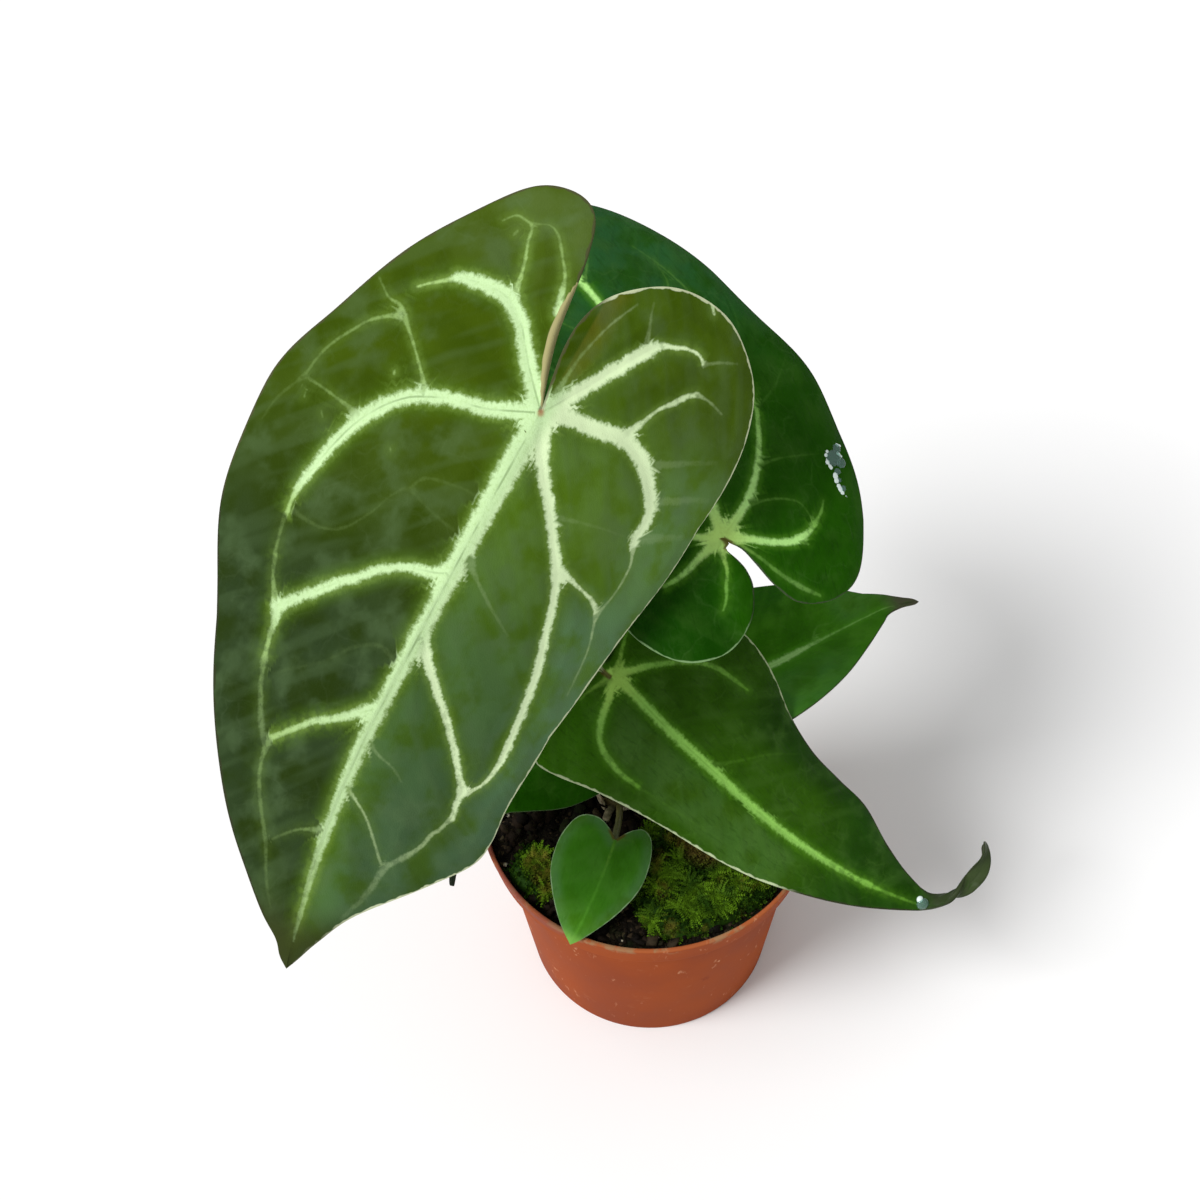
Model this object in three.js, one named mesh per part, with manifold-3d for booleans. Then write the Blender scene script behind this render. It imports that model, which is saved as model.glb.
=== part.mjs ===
// Potted anthurium hybrid: six heart-shaped blades on slender petioles, growing from a short
// rhizome in bark mix, in a 12 cm nursery pot. Millimetres, +Z up, origin under the pot's centre.
import * as THREE from 'three';
import { mergeVertices } from 'three/addons/utils/BufferGeometryUtils.js';
import Module from 'manifold-3d';

const wasm = await Module();
wasm.setup();

// Driving dimensions
const GAP = 0.35; // clearance between touching pieces
const POT = { rim: 60, height: 97, base: 47, neck: 54.3, collar: 11, ledge: 58.5, wall: 1.2 };
const FOOT = { width: 5, disc: 14, recess: 3, slope: 2 };
const DRAIN = { count: 8, radius: 2.5, circle: 30 };
const SOIL = { edge: 91.5, crown: 93.5, lump: 0.8 };
const STEM = { x: -11, y: 2, radius: 5.6, foot: 72, top: 104 };
const BLADE_THICK = 0.9;
const ROUND = 40; // sides of the pot
const ROLL = 0.5; // rounding and draft of the moulded edges

// Colours of the pieces
const COLOUR = {
  pot: 0x9c4426,
  soil: 0x1e1813,
  moss: 0x4a5a1c,
  stem: 0x5c5a2c,
  root: 0x8a7656,
  sheath: 0xa98d68,
  petiole: 0x4f6a2c,
  velvet: 0x2c4322,
  green: 0x24561a,
};

const degrees = THREE.MathUtils.degToRad;

// Blades. hub: where the petiole joins, heading: compass of the tip from +X towards +Y,
// pitch: rise of the midrib at the hub, roll: turn about the midrib, all in degrees.
// bend and sweep: the midrib's turn upward and sideways at shares of length. fold: slope of the
// left and right half beside the midrib, cup: how much that slope grows in 100 mm, ease: how
// strongly both act along the blade. left and right: the flat outline from the hub, round the
// lobe, to the tip, as (along the midrib, across). wave: height and length of the edge's waves.
// rows: rows of points in the lobe and from the hub to the tip, columns: strips in each half.
const BLADES = {
  blade_1: {
    hub: [-28.3, 11.7, 279.8], heading: -122, pitch: -28, roll: 15, length: 184,
    bend: [[-0.45, 8], [0, 0], [0.5, -10], [1, -28]],
    sweep: [[-0.3, 0], [0, -1.6], [0.5, -0.8], [1, 13.7]],
    fold: [-2, -34], cup: [-12, -35],
    ease: [[-0.35, 0.85], [0, 1], [0.45, 1], [0.75, 0.7], [1, 0.35]],
    left: [[0, 0], [-20, -6.5], [-45, -10.5], [-56, -15], [-59, -24], [-54, -34], [-38, -46], [-20, -57],
      [0, -66.5], [28, -75], [61, -70], [98, -51], [131, -31], [156, -12], [173, 0]],
    right: [[0, 0], [-18, -3.5], [-30, -2.5], [-40, 3], [-50, 15], [-54, 29], [-52, 43], [-41, 60],
      [-20, 70], [11, 71.5], [45, 65], [78, 59], [108, 51], [130, 45], [141, 31], [154, 14], [164, 7],
      [173, 0]],
    wave: [0.8, 46], rows: [8, 15], columns: 5, colour: COLOUR.velvet,
  },
  blade_2: {
    hub: [22.8, 24.1, 211.6], heading: 114, pitch: 24, roll: -6, length: 170,
    bend: [[-0.45, 0], [0, 0], [0.5, -12], [0.76, -25], [0.9, -62]],
    sweep: [[-0.3, 0], [0, -7], [0.5, 11], [1, 15]],
    fold: [-6, -6], cup: [-15, -15],
    ease: [[0, 1], [1, 1]],
    left: [[0, 0], [-10, -9], [-18, -13], [-25, -19], [-27, -30], [-23, -41], [-12, -49], [6, -55],
      [25, -56.5], [45, -57.5], [66, -50], [91, -44], [115, -36], [131, -26], [142, -13], [150, 0]],
    right: [[0, 0], [-7, -3.5], [-17, -5], [-27, -1], [-34, 8], [-34.5, 19], [-30, 28], [-20, 36], [-4, 41],
      [18, 42], [45, 42], [72, 39], [100, 32], [122, 22], [139, 10], [150, 0]],
    wave: [0.7, 40], rows: [6, 13], columns: 5, colour: COLOUR.green,
  },
  blade_3: {
    hub: [-12, 6, 162], heading: -20, pitch: -30, roll: -8, length: 172,
    bend: [[-0.45, 2], [0, 0], [0.45, -10], [0.8, -4], [0.87, 10], [1, 50]],
    sweep: [[-0.3, -5], [0, -5.5], [0.3, -8], [0.6, 3.5], [0.8, 17], [1, 100]],
    fold: [-14, 2], cup: [-20, -8],
    ease: [[0, 1], [1, 1]],
    left: [[0, 0], [-4, -8], [-7, -17], [-8, -27], [-4, -36], [5, -36], [20, -32], [38, -28], [60, -24],
      [80, -20], [98, -15], [116, -10], [132, -5.5], [144, -2.4], [160, -1.6], [174, 0]],
    right: [[0, 0], [-2, 9], [-5, 18], [-6, 28], [0, 38], [12, 44], [28, 45], [42, 42], [60, 34], [76, 29],
      [93, 27], [108, 24], [122, 15], [133, 8], [145, 2.6], [160, 1.6], [174, 0]],
    wave: [0.9, 37], rows: [5, 20], columns: 4, colour: COLOUR.green,
  },
  blade_4: {
    hub: [11, 25, 118], heading: 29, pitch: 8, roll: 4, length: 112,
    bend: [[-0.45, 2], [0, 0], [0.5, -6], [1, -10]],
    sweep: [[0, -6], [1, 2]],
    fold: [12, 12], cup: [-14, -14],
    ease: [[0, 1], [1, 1]],
    left: [[0, 0], [-9, -3], [-15, -9], [-15, -20], [-4, -28], [12, -30], [28, -28.5], [42, -26], [55, -22],
      [68, -15], [81, -6], [90, -1.8], [97, 0]],
    right: [[0, 0], [-9, 4], [-15, 12], [-14, 23], [-4, 31], [13, 35], [30, 34], [46, 30], [61, 24],
      [74, 15], [84, 7], [91, 1.8], [97, 0]],
    wave: [0.5, 33], rows: [5, 12], columns: 4, colour: COLOUR.green,
  },
  blade_5: {
    hub: [-11, -26, 112], heading: -112, pitch: -14, roll: 16, length: 38,
    bend: [[-0.45, 2], [0, 0], [1, -14]],
    sweep: [[0, 4], [1, -5]],
    fold: [-5, -5], cup: [-20, -20],
    ease: [[0, 1], [1, 1]],
    left: [[0, 0], [-3, -3], [-5.5, -8], [-4, -14], [3, -17.5], [12, -18], [20, -16], [28, -11], [34, -5.5],
      [38, 0]],
    right: [[0, 0], [-4, 3.5], [-6.5, 8], [-4, 12], [4, 14], [13, 13.5], [22, 10], [30, 5.5], [35, 2.4],
      [38, 0]],
    wave: [0.2, 20], rows: [4, 9], columns: 4, colour: COLOUR.green,
  },
  blade_6: {
    hub: [-24, 3, 119], heading: -160, pitch: 2, roll: 6, length: 75,
    bend: [[-0.45, 0], [0, 0], [0.4, 9], [0.7, -51], [1, -73]],
    sweep: [[0, -6], [0.5, 30], [1, 60]],
    fold: [-6, -6], cup: [-14, -14],
    ease: [[0, 1], [1, 1]],
    left: [[0, 0], [-5, -3], [-8, -9], [-5, -15], [5, -17.5], [18, -17], [32, -12.5], [45, -7], [56, -3.5],
      [66, -1.8], [75, 0]],
    right: [[0, 0], [-5, 3], [-8, 9], [-5, 14.5], [5, 17], [16, 16.5], [28, 12.5], [38, 7.5], [50, 3.8],
      [64, 1.8], [75, 0]],
    wave: [0.3, 26], rows: [4, 11], columns: 4, colour: COLOUR.green,
  },
};

// Petioles: centre line from inside the rhizome to the blade, radius at the foot and at the top,
// how far along the midrib from the hub the top joins, and the rod's count of steps.
const PETIOLES = {
  petiole_1: { blade: 'blade_1', via: [[-15, 6, 97], [-15.5, 9, 122], [-17, 12, 166], [-24, 9, 222]],
    radius: [2.3, 1.9], joins: 4.4, steps: 18 },
  petiole_2: { blade: 'blade_2', via: [[-9.5, 7, 100], [-9, 13, 122], [-10.5, 21, 163], [-1, 23, 190]],
    radius: [2.1, 1.7], joins: 3.8, steps: 16 },
  petiole_3: { blade: 'blade_3', via: [[-11, 0.5, 102], [-12, 0, 116], [-13, 2, 142]],
    radius: [2.0, 1.6], joins: 3.6, steps: 10 },
  petiole_4: { blade: 'blade_4', via: [[-7, 1.5, 95.5], [1, 10, 106]],
    radius: [1.7, 1.35], joins: 3.6, steps: 9 },
  petiole_5: { blade: 'blade_5', via: [[-10.5, -2, 98], [-10, -13, 105]],
    radius: [1.2, 1.0], joins: 2.3, steps: 8 },
  petiole_6: { blade: 'blade_6', via: [[-15, 1, 96], [-19, 2, 108]],
    radius: [1.5, 1.2], joins: 2.7, steps: 8 },
};

// Roots: compass angle round the rhizome, reach of the arc, height where it leaves, radius.
const ROOTS = {
  root_1: { angle: -112, reach: 9, height: 94, radius: 1.5 },
  root_2: { angle: -22, reach: 13, height: 93, radius: 1.5 },
  root_3: { angle: 32, reach: 9, height: 92, radius: 1.3 },
  root_4: { angle: 98, reach: 11, height: 91.5, radius: 1.5 },
};

// Dried sheaths that wrap the rhizome: compass angle, width, height of the tip, lean outwards.
const SHEATHS = {
  sheath_1: { angle: -145, width: 4.4, tip: 109, lean: 3.4 },
  sheath_2: { angle: -58, width: 4.6, tip: 106, lean: 4 },
};

// Moss cushions: centre, half sizes a and b, turn in degrees, height above and depth below.
const MOSS = {
  moss_front: { x: 20, y: -26, a: 29, b: 22, turn: 18, height: 5.5, depth: 4 },
  moss_left: { x: -37, y: -29, a: 12, b: 9, turn: -45, height: 4, depth: 3 },
};

// Closed mesh with shared vertices, as a solid
function toSolid(geometry) {
  const bare = geometry.clone();
  bare.deleteAttribute('normal');
  bare.deleteAttribute('uv');
  const merged = mergeVertices(bare, 1e-4);
  const index = merged.index.array;
  const triangles = [];
  for (let i = 0; i < index.length; i += 3) {
    const [a, b, c] = [index[i], index[i + 1], index[i + 2]];
    if (a !== b && b !== c && c !== a) triangles.push(a, b, c);
  }
  return new wasm.Manifold(new wasm.Mesh({
    numProp: 3,
    vertProperties: new Float32Array(merged.attributes.position.array),
    triVerts: new Uint32Array(triangles),
  }));
}

function toGeometry(solid) {
  const mesh = solid.getMesh();
  const geometry = new THREE.BufferGeometry();
  geometry.setAttribute('position', new THREE.BufferAttribute(mesh.vertProperties, 3));
  geometry.setIndex(new THREE.BufferAttribute(mesh.triVerts, 1));
  return geometry;
}

// The biggest separate body of a solid: a cut can leave loose scraps
function largest(solid) {
  return solid.decompose().sort((a, b) => b.volume() - a.volume())[0];
}

function lerpList(list, x) {
  if (x <= list[0][0]) return list[0][1];
  for (let i = 1; i < list.length; i += 1) {
    const [x0, y0] = list[i - 1];
    const [x1, y1] = list[i];
    if (x <= x1) return y0 + ((y1 - y0) * (x - x0)) / (x1 - x0);
  }
  return list[list.length - 1][1];
}

// The smooth flat outline of one half, split at the lobe's end into its inner and outer edge
function outline(points) {
  const SAMPLES_PER_SPAN = 12;
  const curve = new THREE.SplineCurve(points.map(([u, v]) => new THREE.Vector2(u, v)));
  const line = curve.getPoints((points.length - 1) * SAMPLES_PER_SPAN).map((p) => [p.x, p.y]);
  let top = 0;
  line.forEach((p, i) => {
    if (p[0] < line[top][0]) top = i;
  });
  return {
    top: line[top],
    inner: line.slice(0, top + 1).reverse(),
    outer: line.slice(top),
    tip: line[line.length - 1],
  };
}

// A blade's frame and its midrib, as points, sideways and upward directions along its length
function midrib(blade) {
  const STEPS = 240;
  const BACK = -0.45;
  const [h, p, r] = [blade.heading, blade.pitch, blade.roll].map(degrees);
  const along = new THREE.Vector3(Math.cos(h) * Math.cos(p), Math.sin(h) * Math.cos(p), Math.sin(p));
  const level = new THREE.Vector3(-Math.cos(h) * Math.sin(p), -Math.sin(h) * Math.sin(p), Math.cos(p));
  const side = new THREE.Vector3().crossVectors(level, along);
  const up = level.clone().multiplyScalar(Math.cos(r)).addScaledVector(side, Math.sin(r));
  const across = new THREE.Vector3().crossVectors(up, along);
  const { length } = blade;
  const turn = (u) => {
    const bend = degrees(lerpList(blade.bend, u / length));
    const sweep = degrees(lerpList(blade.sweep, u / length));
    return [bend, sweep];
  };
  const step = (length * (1 - BACK)) / STEPS;
  const walk = (u) => {
    const [bend, sweep] = turn(u);
    const reach = Math.cos(bend);
    return new THREE.Vector3(reach * Math.cos(sweep), reach * Math.sin(sweep), Math.sin(bend));
  };
  const stations = [new THREE.Vector3()];
  for (let i = 0; i < STEPS; i += 1) {
    const u = BACK * length + i * step;
    const mean = walk(u).add(walk(u + step)).multiplyScalar(step / 2);
    stations.push(stations[i].clone().add(mean));
  }
  const local = (u) => {
    const s = THREE.MathUtils.clamp((u - BACK * length) / step, 0, STEPS - 1e-6);
    const i = Math.floor(s);
    return stations[i].clone().lerp(stations[i + 1], s - i);
  };
  const start = local(0);
  return { along, across, up, length, turn, at: (u) => local(u).sub(start) };
}

// Point of a blade's middle surface. hand is -1 on the left half and 1 on the right half.
function surface(blade, rib, u, v, hand) {
  const FULL_WAVE = 60; // distance from the midrib where the waves have their stated height
  const CALM = 30; // length before the tip in which they die down
  const half = hand < 0 ? 0 : 1;
  const ease = lerpList(blade.ease, u / rib.length);
  const slope = degrees(blade.fold[half]) * ease;
  const growth = (degrees(blade.cup[half]) * ease) / 100;
  const w = v * hand;
  const out = (Math.sin(slope + growth * w) - Math.sin(slope)) / growth;
  const rise = -(Math.cos(slope + growth * w) - Math.cos(slope)) / growth;
  const [bend, sweep] = rib.turn(u);
  const m = rib.at(u);
  const ripple = Math.sin((2 * Math.PI * u) / blade.wave[1] + hand) * blade.wave[0];
  const lift = rise + ripple * (w / FULL_WAVE) ** 2 * Math.min(1, Math.abs(rib.length - u) / CALM);
  const x = m.x - Math.sin(sweep) * hand * out - Math.sin(bend) * Math.cos(sweep) * lift;
  const y = m.y + Math.cos(sweep) * hand * out - Math.sin(bend) * Math.sin(sweep) * lift;
  const z = m.z + Math.cos(bend) * lift;
  return new THREE.Vector3(...blade.hub)
    .addScaledVector(rib.along, x)
    .addScaledVector(rib.across, y)
    .addScaledVector(rib.up, z);
}

function surfaceNormal(blade, rib, u, v, hand) {
  const STEP = 0.05;
  const du = surface(blade, rib, u + STEP, v, hand).sub(surface(blade, rib, u - STEP, v, hand));
  const dv = surface(blade, rib, u, v + STEP, hand).sub(surface(blade, rib, u, v - STEP, hand));
  return dv.cross(du).negate().normalize();
}

// Rows of (along, across) points of one half, from the lobe's end to the tip, outer edge first
function halfRows(blade, edge, hand) {
  const [lobeRows, bodyRows] = blade.rows;
  const rows = [];
  for (let k = lobeRows; k > 0; k -= 1) {
    const u = edge.top[0] * Math.sin((Math.PI * k) / (2 * lobeRows));
    rows.push([u, lerpList(edge.outer, u), lerpList(edge.inner, u)]);
  }
  rows[0] = [edge.top[0], edge.top[1], edge.top[1]];
  for (let k = 0; k <= bodyRows; k += 1) {
    const u = (edge.tip[0] * k) / bodyRows;
    rows.push([u, k === bodyRows ? 0 : lerpList(edge.outer, u), 0]);
  }
  const columns = [...Array(blade.columns + 1).keys()].map((c) => c / blade.columns);
  return rows.map(([u, outer, inner]) => columns.map((c) => ({ u, v: outer + (inner - outer) * c, hand })));
}

// A blade as a closed sheet of even thickness, split into triangles alike on both faces
function bladeSolid(name, thickness) {
  const blade = BLADES[name];
  const rib = midrib(blade);
  const halves = [
    halfRows(blade, outline(blade.left), -1),
    halfRows(blade, outline(blade.right), 1),
  ];
  const positions = [];
  const triangles = [];
  for (const rows of halves) {
    const hand = rows[0][0].hand;
    const base = positions.length / 3;
    const width = blade.columns + 1;
    const sheet = rows.length * width;
    for (const side of [1, -1]) {
      for (const row of rows) {
        for (const { u, v } of row) {
          const normal = surfaceNormal(blade, rib, u, v, hand);
          if (v === 0) normal.add(surfaceNormal(blade, rib, u, v, -hand)).normalize();
          const p = surface(blade, rib, u, v, hand).addScaledVector(normal, (side * thickness) / 2);
          positions.push(p.x, p.y, p.z);
        }
      }
    }
    const face = (a, b, c) => (hand > 0 ? triangles.push(a, b, c) : triangles.push(a, c, b));
    const at = (r, c, layer) => base + layer * sheet + r * width + c;
    for (let r = 0; r + 1 < rows.length; r += 1) {
      for (let c = 0; c + 1 < width; c += 1) {
        face(at(r, c, 0), at(r, c + 1, 0), at(r + 1, c, 0));
        face(at(r, c + 1, 0), at(r + 1, c + 1, 0), at(r + 1, c, 0));
        face(at(r, c, 1), at(r + 1, c, 1), at(r, c + 1, 1));
        face(at(r, c + 1, 1), at(r + 1, c, 1), at(r + 1, c + 1, 1));
      }
      face(at(r, 0, 0), at(r + 1, 0, 0), at(r, 0, 1));
      face(at(r, 0, 1), at(r + 1, 0, 0), at(r + 1, 0, 1));
      if (r < blade.rows[0]) {
        const c = width - 1;
        face(at(r, c, 0), at(r, c, 1), at(r + 1, c, 0));
        face(at(r, c, 1), at(r + 1, c, 1), at(r + 1, c, 0));
      }
    }
  }
  const geometry = new THREE.BufferGeometry();
  geometry.setAttribute('position', new THREE.Float32BufferAttribute(positions, 3));
  geometry.setIndex(triangles);
  return toSolid(geometry);
}

// A round rod along a curve, its radius given by a function of the share of the length
function rod(curve, radiusAt, sides, steps) {
  const geometry = new THREE.CylinderGeometry(1, 1, 1, sides, steps);
  const frames = curve.computeFrenetFrames(steps, false);
  const position = geometry.attributes.position;
  const point = new THREE.Vector3();
  for (let i = 0; i < position.count; i += 1) {
    point.fromBufferAttribute(position, i);
    const station = Math.round((0.5 + point.y) * steps);
    const share = station / steps;
    const radius = radiusAt(share);
    const spot = curve.getPointAt(share)
      .addScaledVector(frames.normals[station], point.z * radius)
      .addScaledVector(frames.binormals[station], point.x * radius);
    position.setXYZ(i, spot.x, spot.y, spot.z);
  }
  return toSolid(geometry);
}

// A petiole: it swells a little at its foot and in the knee below the blade
function petioleSolid(name) {
  const PAST = 0.7; // how far the rod runs on through the blade before it is cut to it
  const FLARE = { share: 0.22, fade: 7 };
  const KNEE = { share: 0.22, length: 8 };
  const SIDES = 8;
  const { blade: bladeName, via, radius, joins, steps } = PETIOLES[name];
  const blade = BLADES[bladeName];
  const rib = midrib(blade);
  const joint = surface(blade, rib, joins, 0, 1);
  const leftNormal = surfaceNormal(blade, rib, joins, 0, -1);
  const normal = surfaceNormal(blade, rib, joins, 0, 1).add(leftNormal).normalize();
  const points = via.map((p) => new THREE.Vector3(...p));
  points.push(joint.clone().addScaledVector(normal, PAST));
  const curve = new THREE.CatmullRomCurve3(points);
  const length = curve.getLength();
  const radiusAt = (share) => {
    const flare = FLARE.share * Math.exp((-share * length) / FLARE.fade);
    const knee = KNEE.share * Math.exp(-((((1 - share) * length) / KNEE.length) ** 2));
    return THREE.MathUtils.lerp(radius[0], radius[1], share) * (1 + flare + knee);
  };
  return rod(curve, radiusAt, SIDES, steps);
}

// A root: it arches out of the rhizome and down into the soil
function rootSolid(name, extra) {
  const START = 2; // distance from the rhizome's axis, inside its hole in the root's end
  const RISE = 0.3;
  const FALL = 3.5;
  const DIG = 11;
  const TAPER = 0.25;
  const SIDES = 7;
  const STEPS = 6;
  const { angle, reach, height, radius } = ROOTS[name];
  const [c, s] = [Math.cos(degrees(angle)), Math.sin(degrees(angle))];
  const at = (r, z) => new THREE.Vector3(STEM.x + r * c, STEM.y + r * s, z);
  const curve = new THREE.CatmullRomCurve3([
    at(START, height - RISE),
    at(STEM.radius + reach * 0.35, height + RISE),
    at(STEM.radius + reach * 0.8, height - FALL),
    at(STEM.radius + reach, height - DIG - 2 * extra),
  ]);
  return rod(curve, (share) => radius * (1 - TAPER * share) + extra, SIDES, STEPS);
}

// A dried sheath: a pointed strap, curled round the rhizome and leaning out at its tip
function sheathSolid(name, extra) {
  const THICK = 0.8;
  const FOOT_HEIGHT = 88;
  const CLEAR = 1.2; // from the rhizome's side to the middle of the strap
  const BLUNT = 0.03; // share of the width, squared, that is left at the tip
  const { angle, width, tip, lean } = SHEATHS[name];
  const near = STEM.radius + CLEAR;
  const geometry = new THREE.BoxGeometry(1, 1, 1, 4, 7, 1);
  const position = geometry.attributes.position;
  for (let i = 0; i < position.count; i += 1) {
    const across = position.getX(i);
    const share = position.getY(i) + 0.5;
    const layer = position.getZ(i);
    const taper = Math.sqrt(Math.max(BLUNT, 1 - share ** 3));
    const turn = degrees(angle) + (across * (width * taper + 2 * extra)) / near;
    const radius = near + layer * (THICK + 2 * extra) + lean * share ** 2;
    const z = FOOT_HEIGHT - extra + share * (tip - FOOT_HEIGHT + 2 * extra);
    position.setXYZ(i, STEM.x + radius * Math.cos(turn), STEM.y + radius * Math.sin(turn), z);
  }
  return toSolid(geometry);
}

// A moss cushion: a low lumpy mound with a flat-bottomed root mat below the soil
function mossSolid(name, extra) {
  const WAIST = 0.6; // height of its widest part above the soil's edge
  const LUMP = 0.9;
  const { x, y, a, b, turn, height, depth } = MOSS[name];
  const geometry = new THREE.SphereGeometry(1, 18, 10);
  geometry.rotateX(Math.PI / 2);
  const position = geometry.attributes.position;
  const spin = new THREE.Matrix4().makeRotationZ(degrees(turn));
  const point = new THREE.Vector3();
  for (let i = 0; i < position.count; i += 1) {
    point.fromBufferAttribute(position, i);
    const { x: px, y: py, z: pz } = point;
    const angle = Math.atan2(py, px);
    const spread = 1 + 0.07 * Math.sin(3 * angle + 1) + 0.05 * Math.sin(5 * angle);
    const lump = pz > 0 ? LUMP * pz * Math.sin(7 * px + 2) * Math.cos(6 * py + 1) : 0;
    const tall = pz > 0 ? height + extra : depth + extra;
    point.set(px * (a + extra) * spread, py * (b + extra) * spread, pz * tall + lump);
    point.applyMatrix4(spin);
    position.setXYZ(i, x + point.x, y + point.y, SOIL.edge + WAIST + point.z);
  }
  return toSolid(geometry);
}

// The rhizome: a blunt knob, widest at the soil's surface
function stemSolid(extra) {
  const { x, y, radius, foot, top } = STEM;
  const shape = [[0, foot], [3.4, foot], [4.6, foot + 7], [5.2, foot + 14], [radius, foot + 21],
    [radius - 0.6, top - 6], [3.2, top - 1.6], [0, top]];
  const profile = shape.map(([r, z], i) => new THREE.Vector2(
    r > 0 ? r + extra : 0,
    z + (i < 2 ? -extra : 0) + (i === shape.length - 1 ? extra : 0),
  ));
  const geometry = new THREE.LatheGeometry(profile, 14);
  geometry.rotateX(Math.PI / 2);
  geometry.translate(x, y, 0);
  return toSolid(geometry);
}

// The pot: a thin moulded cup with a stepped collar and a ring foot
function potSolid() {
  const { rim, height, base, neck, collar, ledge, wall } = POT;
  const { width, disc, recess, slope } = FOOT;
  const shoulder = height - collar;
  const STEP = 1.4; // the collar's underside slopes by this much
  const profile = [
    [0, 0], [disc, 0], [disc + slope, recess], [base - width - slope, recess], [base - width, 0],
    [base - ROLL, 0], [base, ROLL], [neck, shoulder - STEP], [ledge, shoulder], [rim, height - ROLL],
    [rim - ROLL, height], [rim - wall, height], [rim - wall - ROLL, height - ROLL],
    [ledge - wall, shoulder + STEP], [neck - wall, shoulder], [base - wall, wall + ROLL],
    [base - wall - ROLL, wall], [base - width + ROLL, wall], [base - width - slope, recess + wall],
    [disc + slope, recess + wall], [disc - ROLL, wall], [0, wall],
  ];
  const geometry = new THREE.LatheGeometry(profile.map(([r, z]) => new THREE.Vector2(r, z)), ROUND);
  geometry.rotateX(Math.PI / 2);
  let solid = toSolid(geometry);
  for (let i = 0; i < DRAIN.count; i += 1) {
    const angle = (2 * Math.PI * (i + 0.5)) / DRAIN.count;
    const hole = new THREE.CylinderGeometry(DRAIN.radius, DRAIN.radius, 6, 8);
    hole.rotateX(Math.PI / 2);
    hole.translate(DRAIN.circle * Math.cos(angle), DRAIN.circle * Math.sin(angle), recess + wall / 2);
    solid = solid.subtract(toSolid(hole));
  }
  return solid;
}

// The bark mix fills the pot, with a low crown and a lumpy top
function soilSolid() {
  const { rim, height, base, neck, collar, ledge, wall } = POT;
  const { width, disc, recess, slope } = FOOT;
  const inside = wall + GAP;
  const shoulder = height - collar + wall;
  const edgeRadius = THREE.MathUtils.lerp(ledge, rim, (SOIL.edge - shoulder) / collar) - inside;
  const rings = [0.9, 0.7, 0.5, 0.3];
  const profile = [
    [0, inside], [disc - ROLL, inside], [disc + slope - GAP, recess + inside],
    [base - width - slope + GAP, recess + inside], [base - width + 2 * ROLL, inside],
    [base - inside - ROLL, inside], [base - inside, inside + ROLL], [neck - inside, shoulder],
    [ledge - inside, shoulder + wall], [edgeRadius, SOIL.edge],
    ...rings.map((share) => [edgeRadius * share, SOIL.crown]), [0, SOIL.crown],
  ];
  const geometry = new THREE.LatheGeometry(profile.map(([r, z]) => new THREE.Vector2(r, z)), ROUND);
  geometry.rotateX(Math.PI / 2);
  const position = geometry.attributes.position;
  for (let i = 0; i < position.count; i += 1) {
    if (position.getZ(i) < SOIL.crown - GAP) continue;
    const [x, y] = [position.getX(i), position.getY(i)];
    const share = Math.hypot(x, y) / edgeRadius;
    const crown = THREE.MathUtils.lerp(SOIL.crown, SOIL.edge, share ** 2);
    const lump = SOIL.lump * Math.sin(x / 4.1 + 1.3) * Math.cos(y / 3.7 + 0.4);
    position.setZ(i, crown + lump);
  }
  return toSolid(geometry);
}

function material(color, roughness) {
  return new THREE.MeshStandardMaterial({ color, roughness, metalness: 0, side: THREE.DoubleSide });
}

const plant = new THREE.Group();

function place(name, solid, color, roughness) {
  const mesh = new THREE.Mesh(toGeometry(solid), material(color, roughness));
  mesh.name = name;
  plant.add(mesh);
}

// Everything that stands in the soil has a plain hole there, cut by a slightly fatter copy
let soil = soilSolid();
const wideStem = stemSolid(GAP);
soil = soil.subtract(wideStem);
place('pot', potSolid(), COLOUR.pot, 0.45);
place('stem', stemSolid(0), COLOUR.stem, 0.8);

for (const name of Object.keys(ROOTS)) {
  soil = soil.subtract(rootSolid(name, GAP));
  place(name, largest(rootSolid(name, 0).subtract(wideStem)), COLOUR.root, 0.9);
}
for (const name of Object.keys(SHEATHS)) {
  soil = soil.subtract(sheathSolid(name, GAP));
  place(name, sheathSolid(name, 0), COLOUR.sheath, 0.9);
}
for (const name of Object.keys(MOSS)) {
  soil = soil.subtract(mossSolid(name, GAP));
  place(name, mossSolid(name, 0), COLOUR.moss, 0.95);
}
for (const name of Object.keys(PETIOLES)) {
  const cutter = bladeSolid(PETIOLES[name].blade, BLADE_THICK + 2 * GAP);
  const stalk = largest(petioleSolid(name, 0).subtract(wideStem).subtract(cutter));
  place(name, stalk, COLOUR.petiole, 0.6);
}
for (const name of Object.keys(BLADES)) {
  place(name, bladeSolid(name, BLADE_THICK), BLADES[name].colour, 0.5);
}
place('soil', largest(soil), COLOUR.soil, 0.95);

export default plant;
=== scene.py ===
# %% [markdown]
# # A potted anthurium hybrid
# A young velvet anthurium stands in a 12 cm nursery pot. Six heart-shaped leaves rise on thin stalks
# from one short rhizome: a big velvety one with pale, feathered veins, and smoother, deeper green
# ones. The solids are already packed, so this script loads them as a fixed frame and builds the
# fine surface of every piece in the same place.

# %% Load the packed solids
import math
import random

import bmesh
import bpy
import numpy as np
from mathutils import Euler, Matrix, Vector, noise


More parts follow.
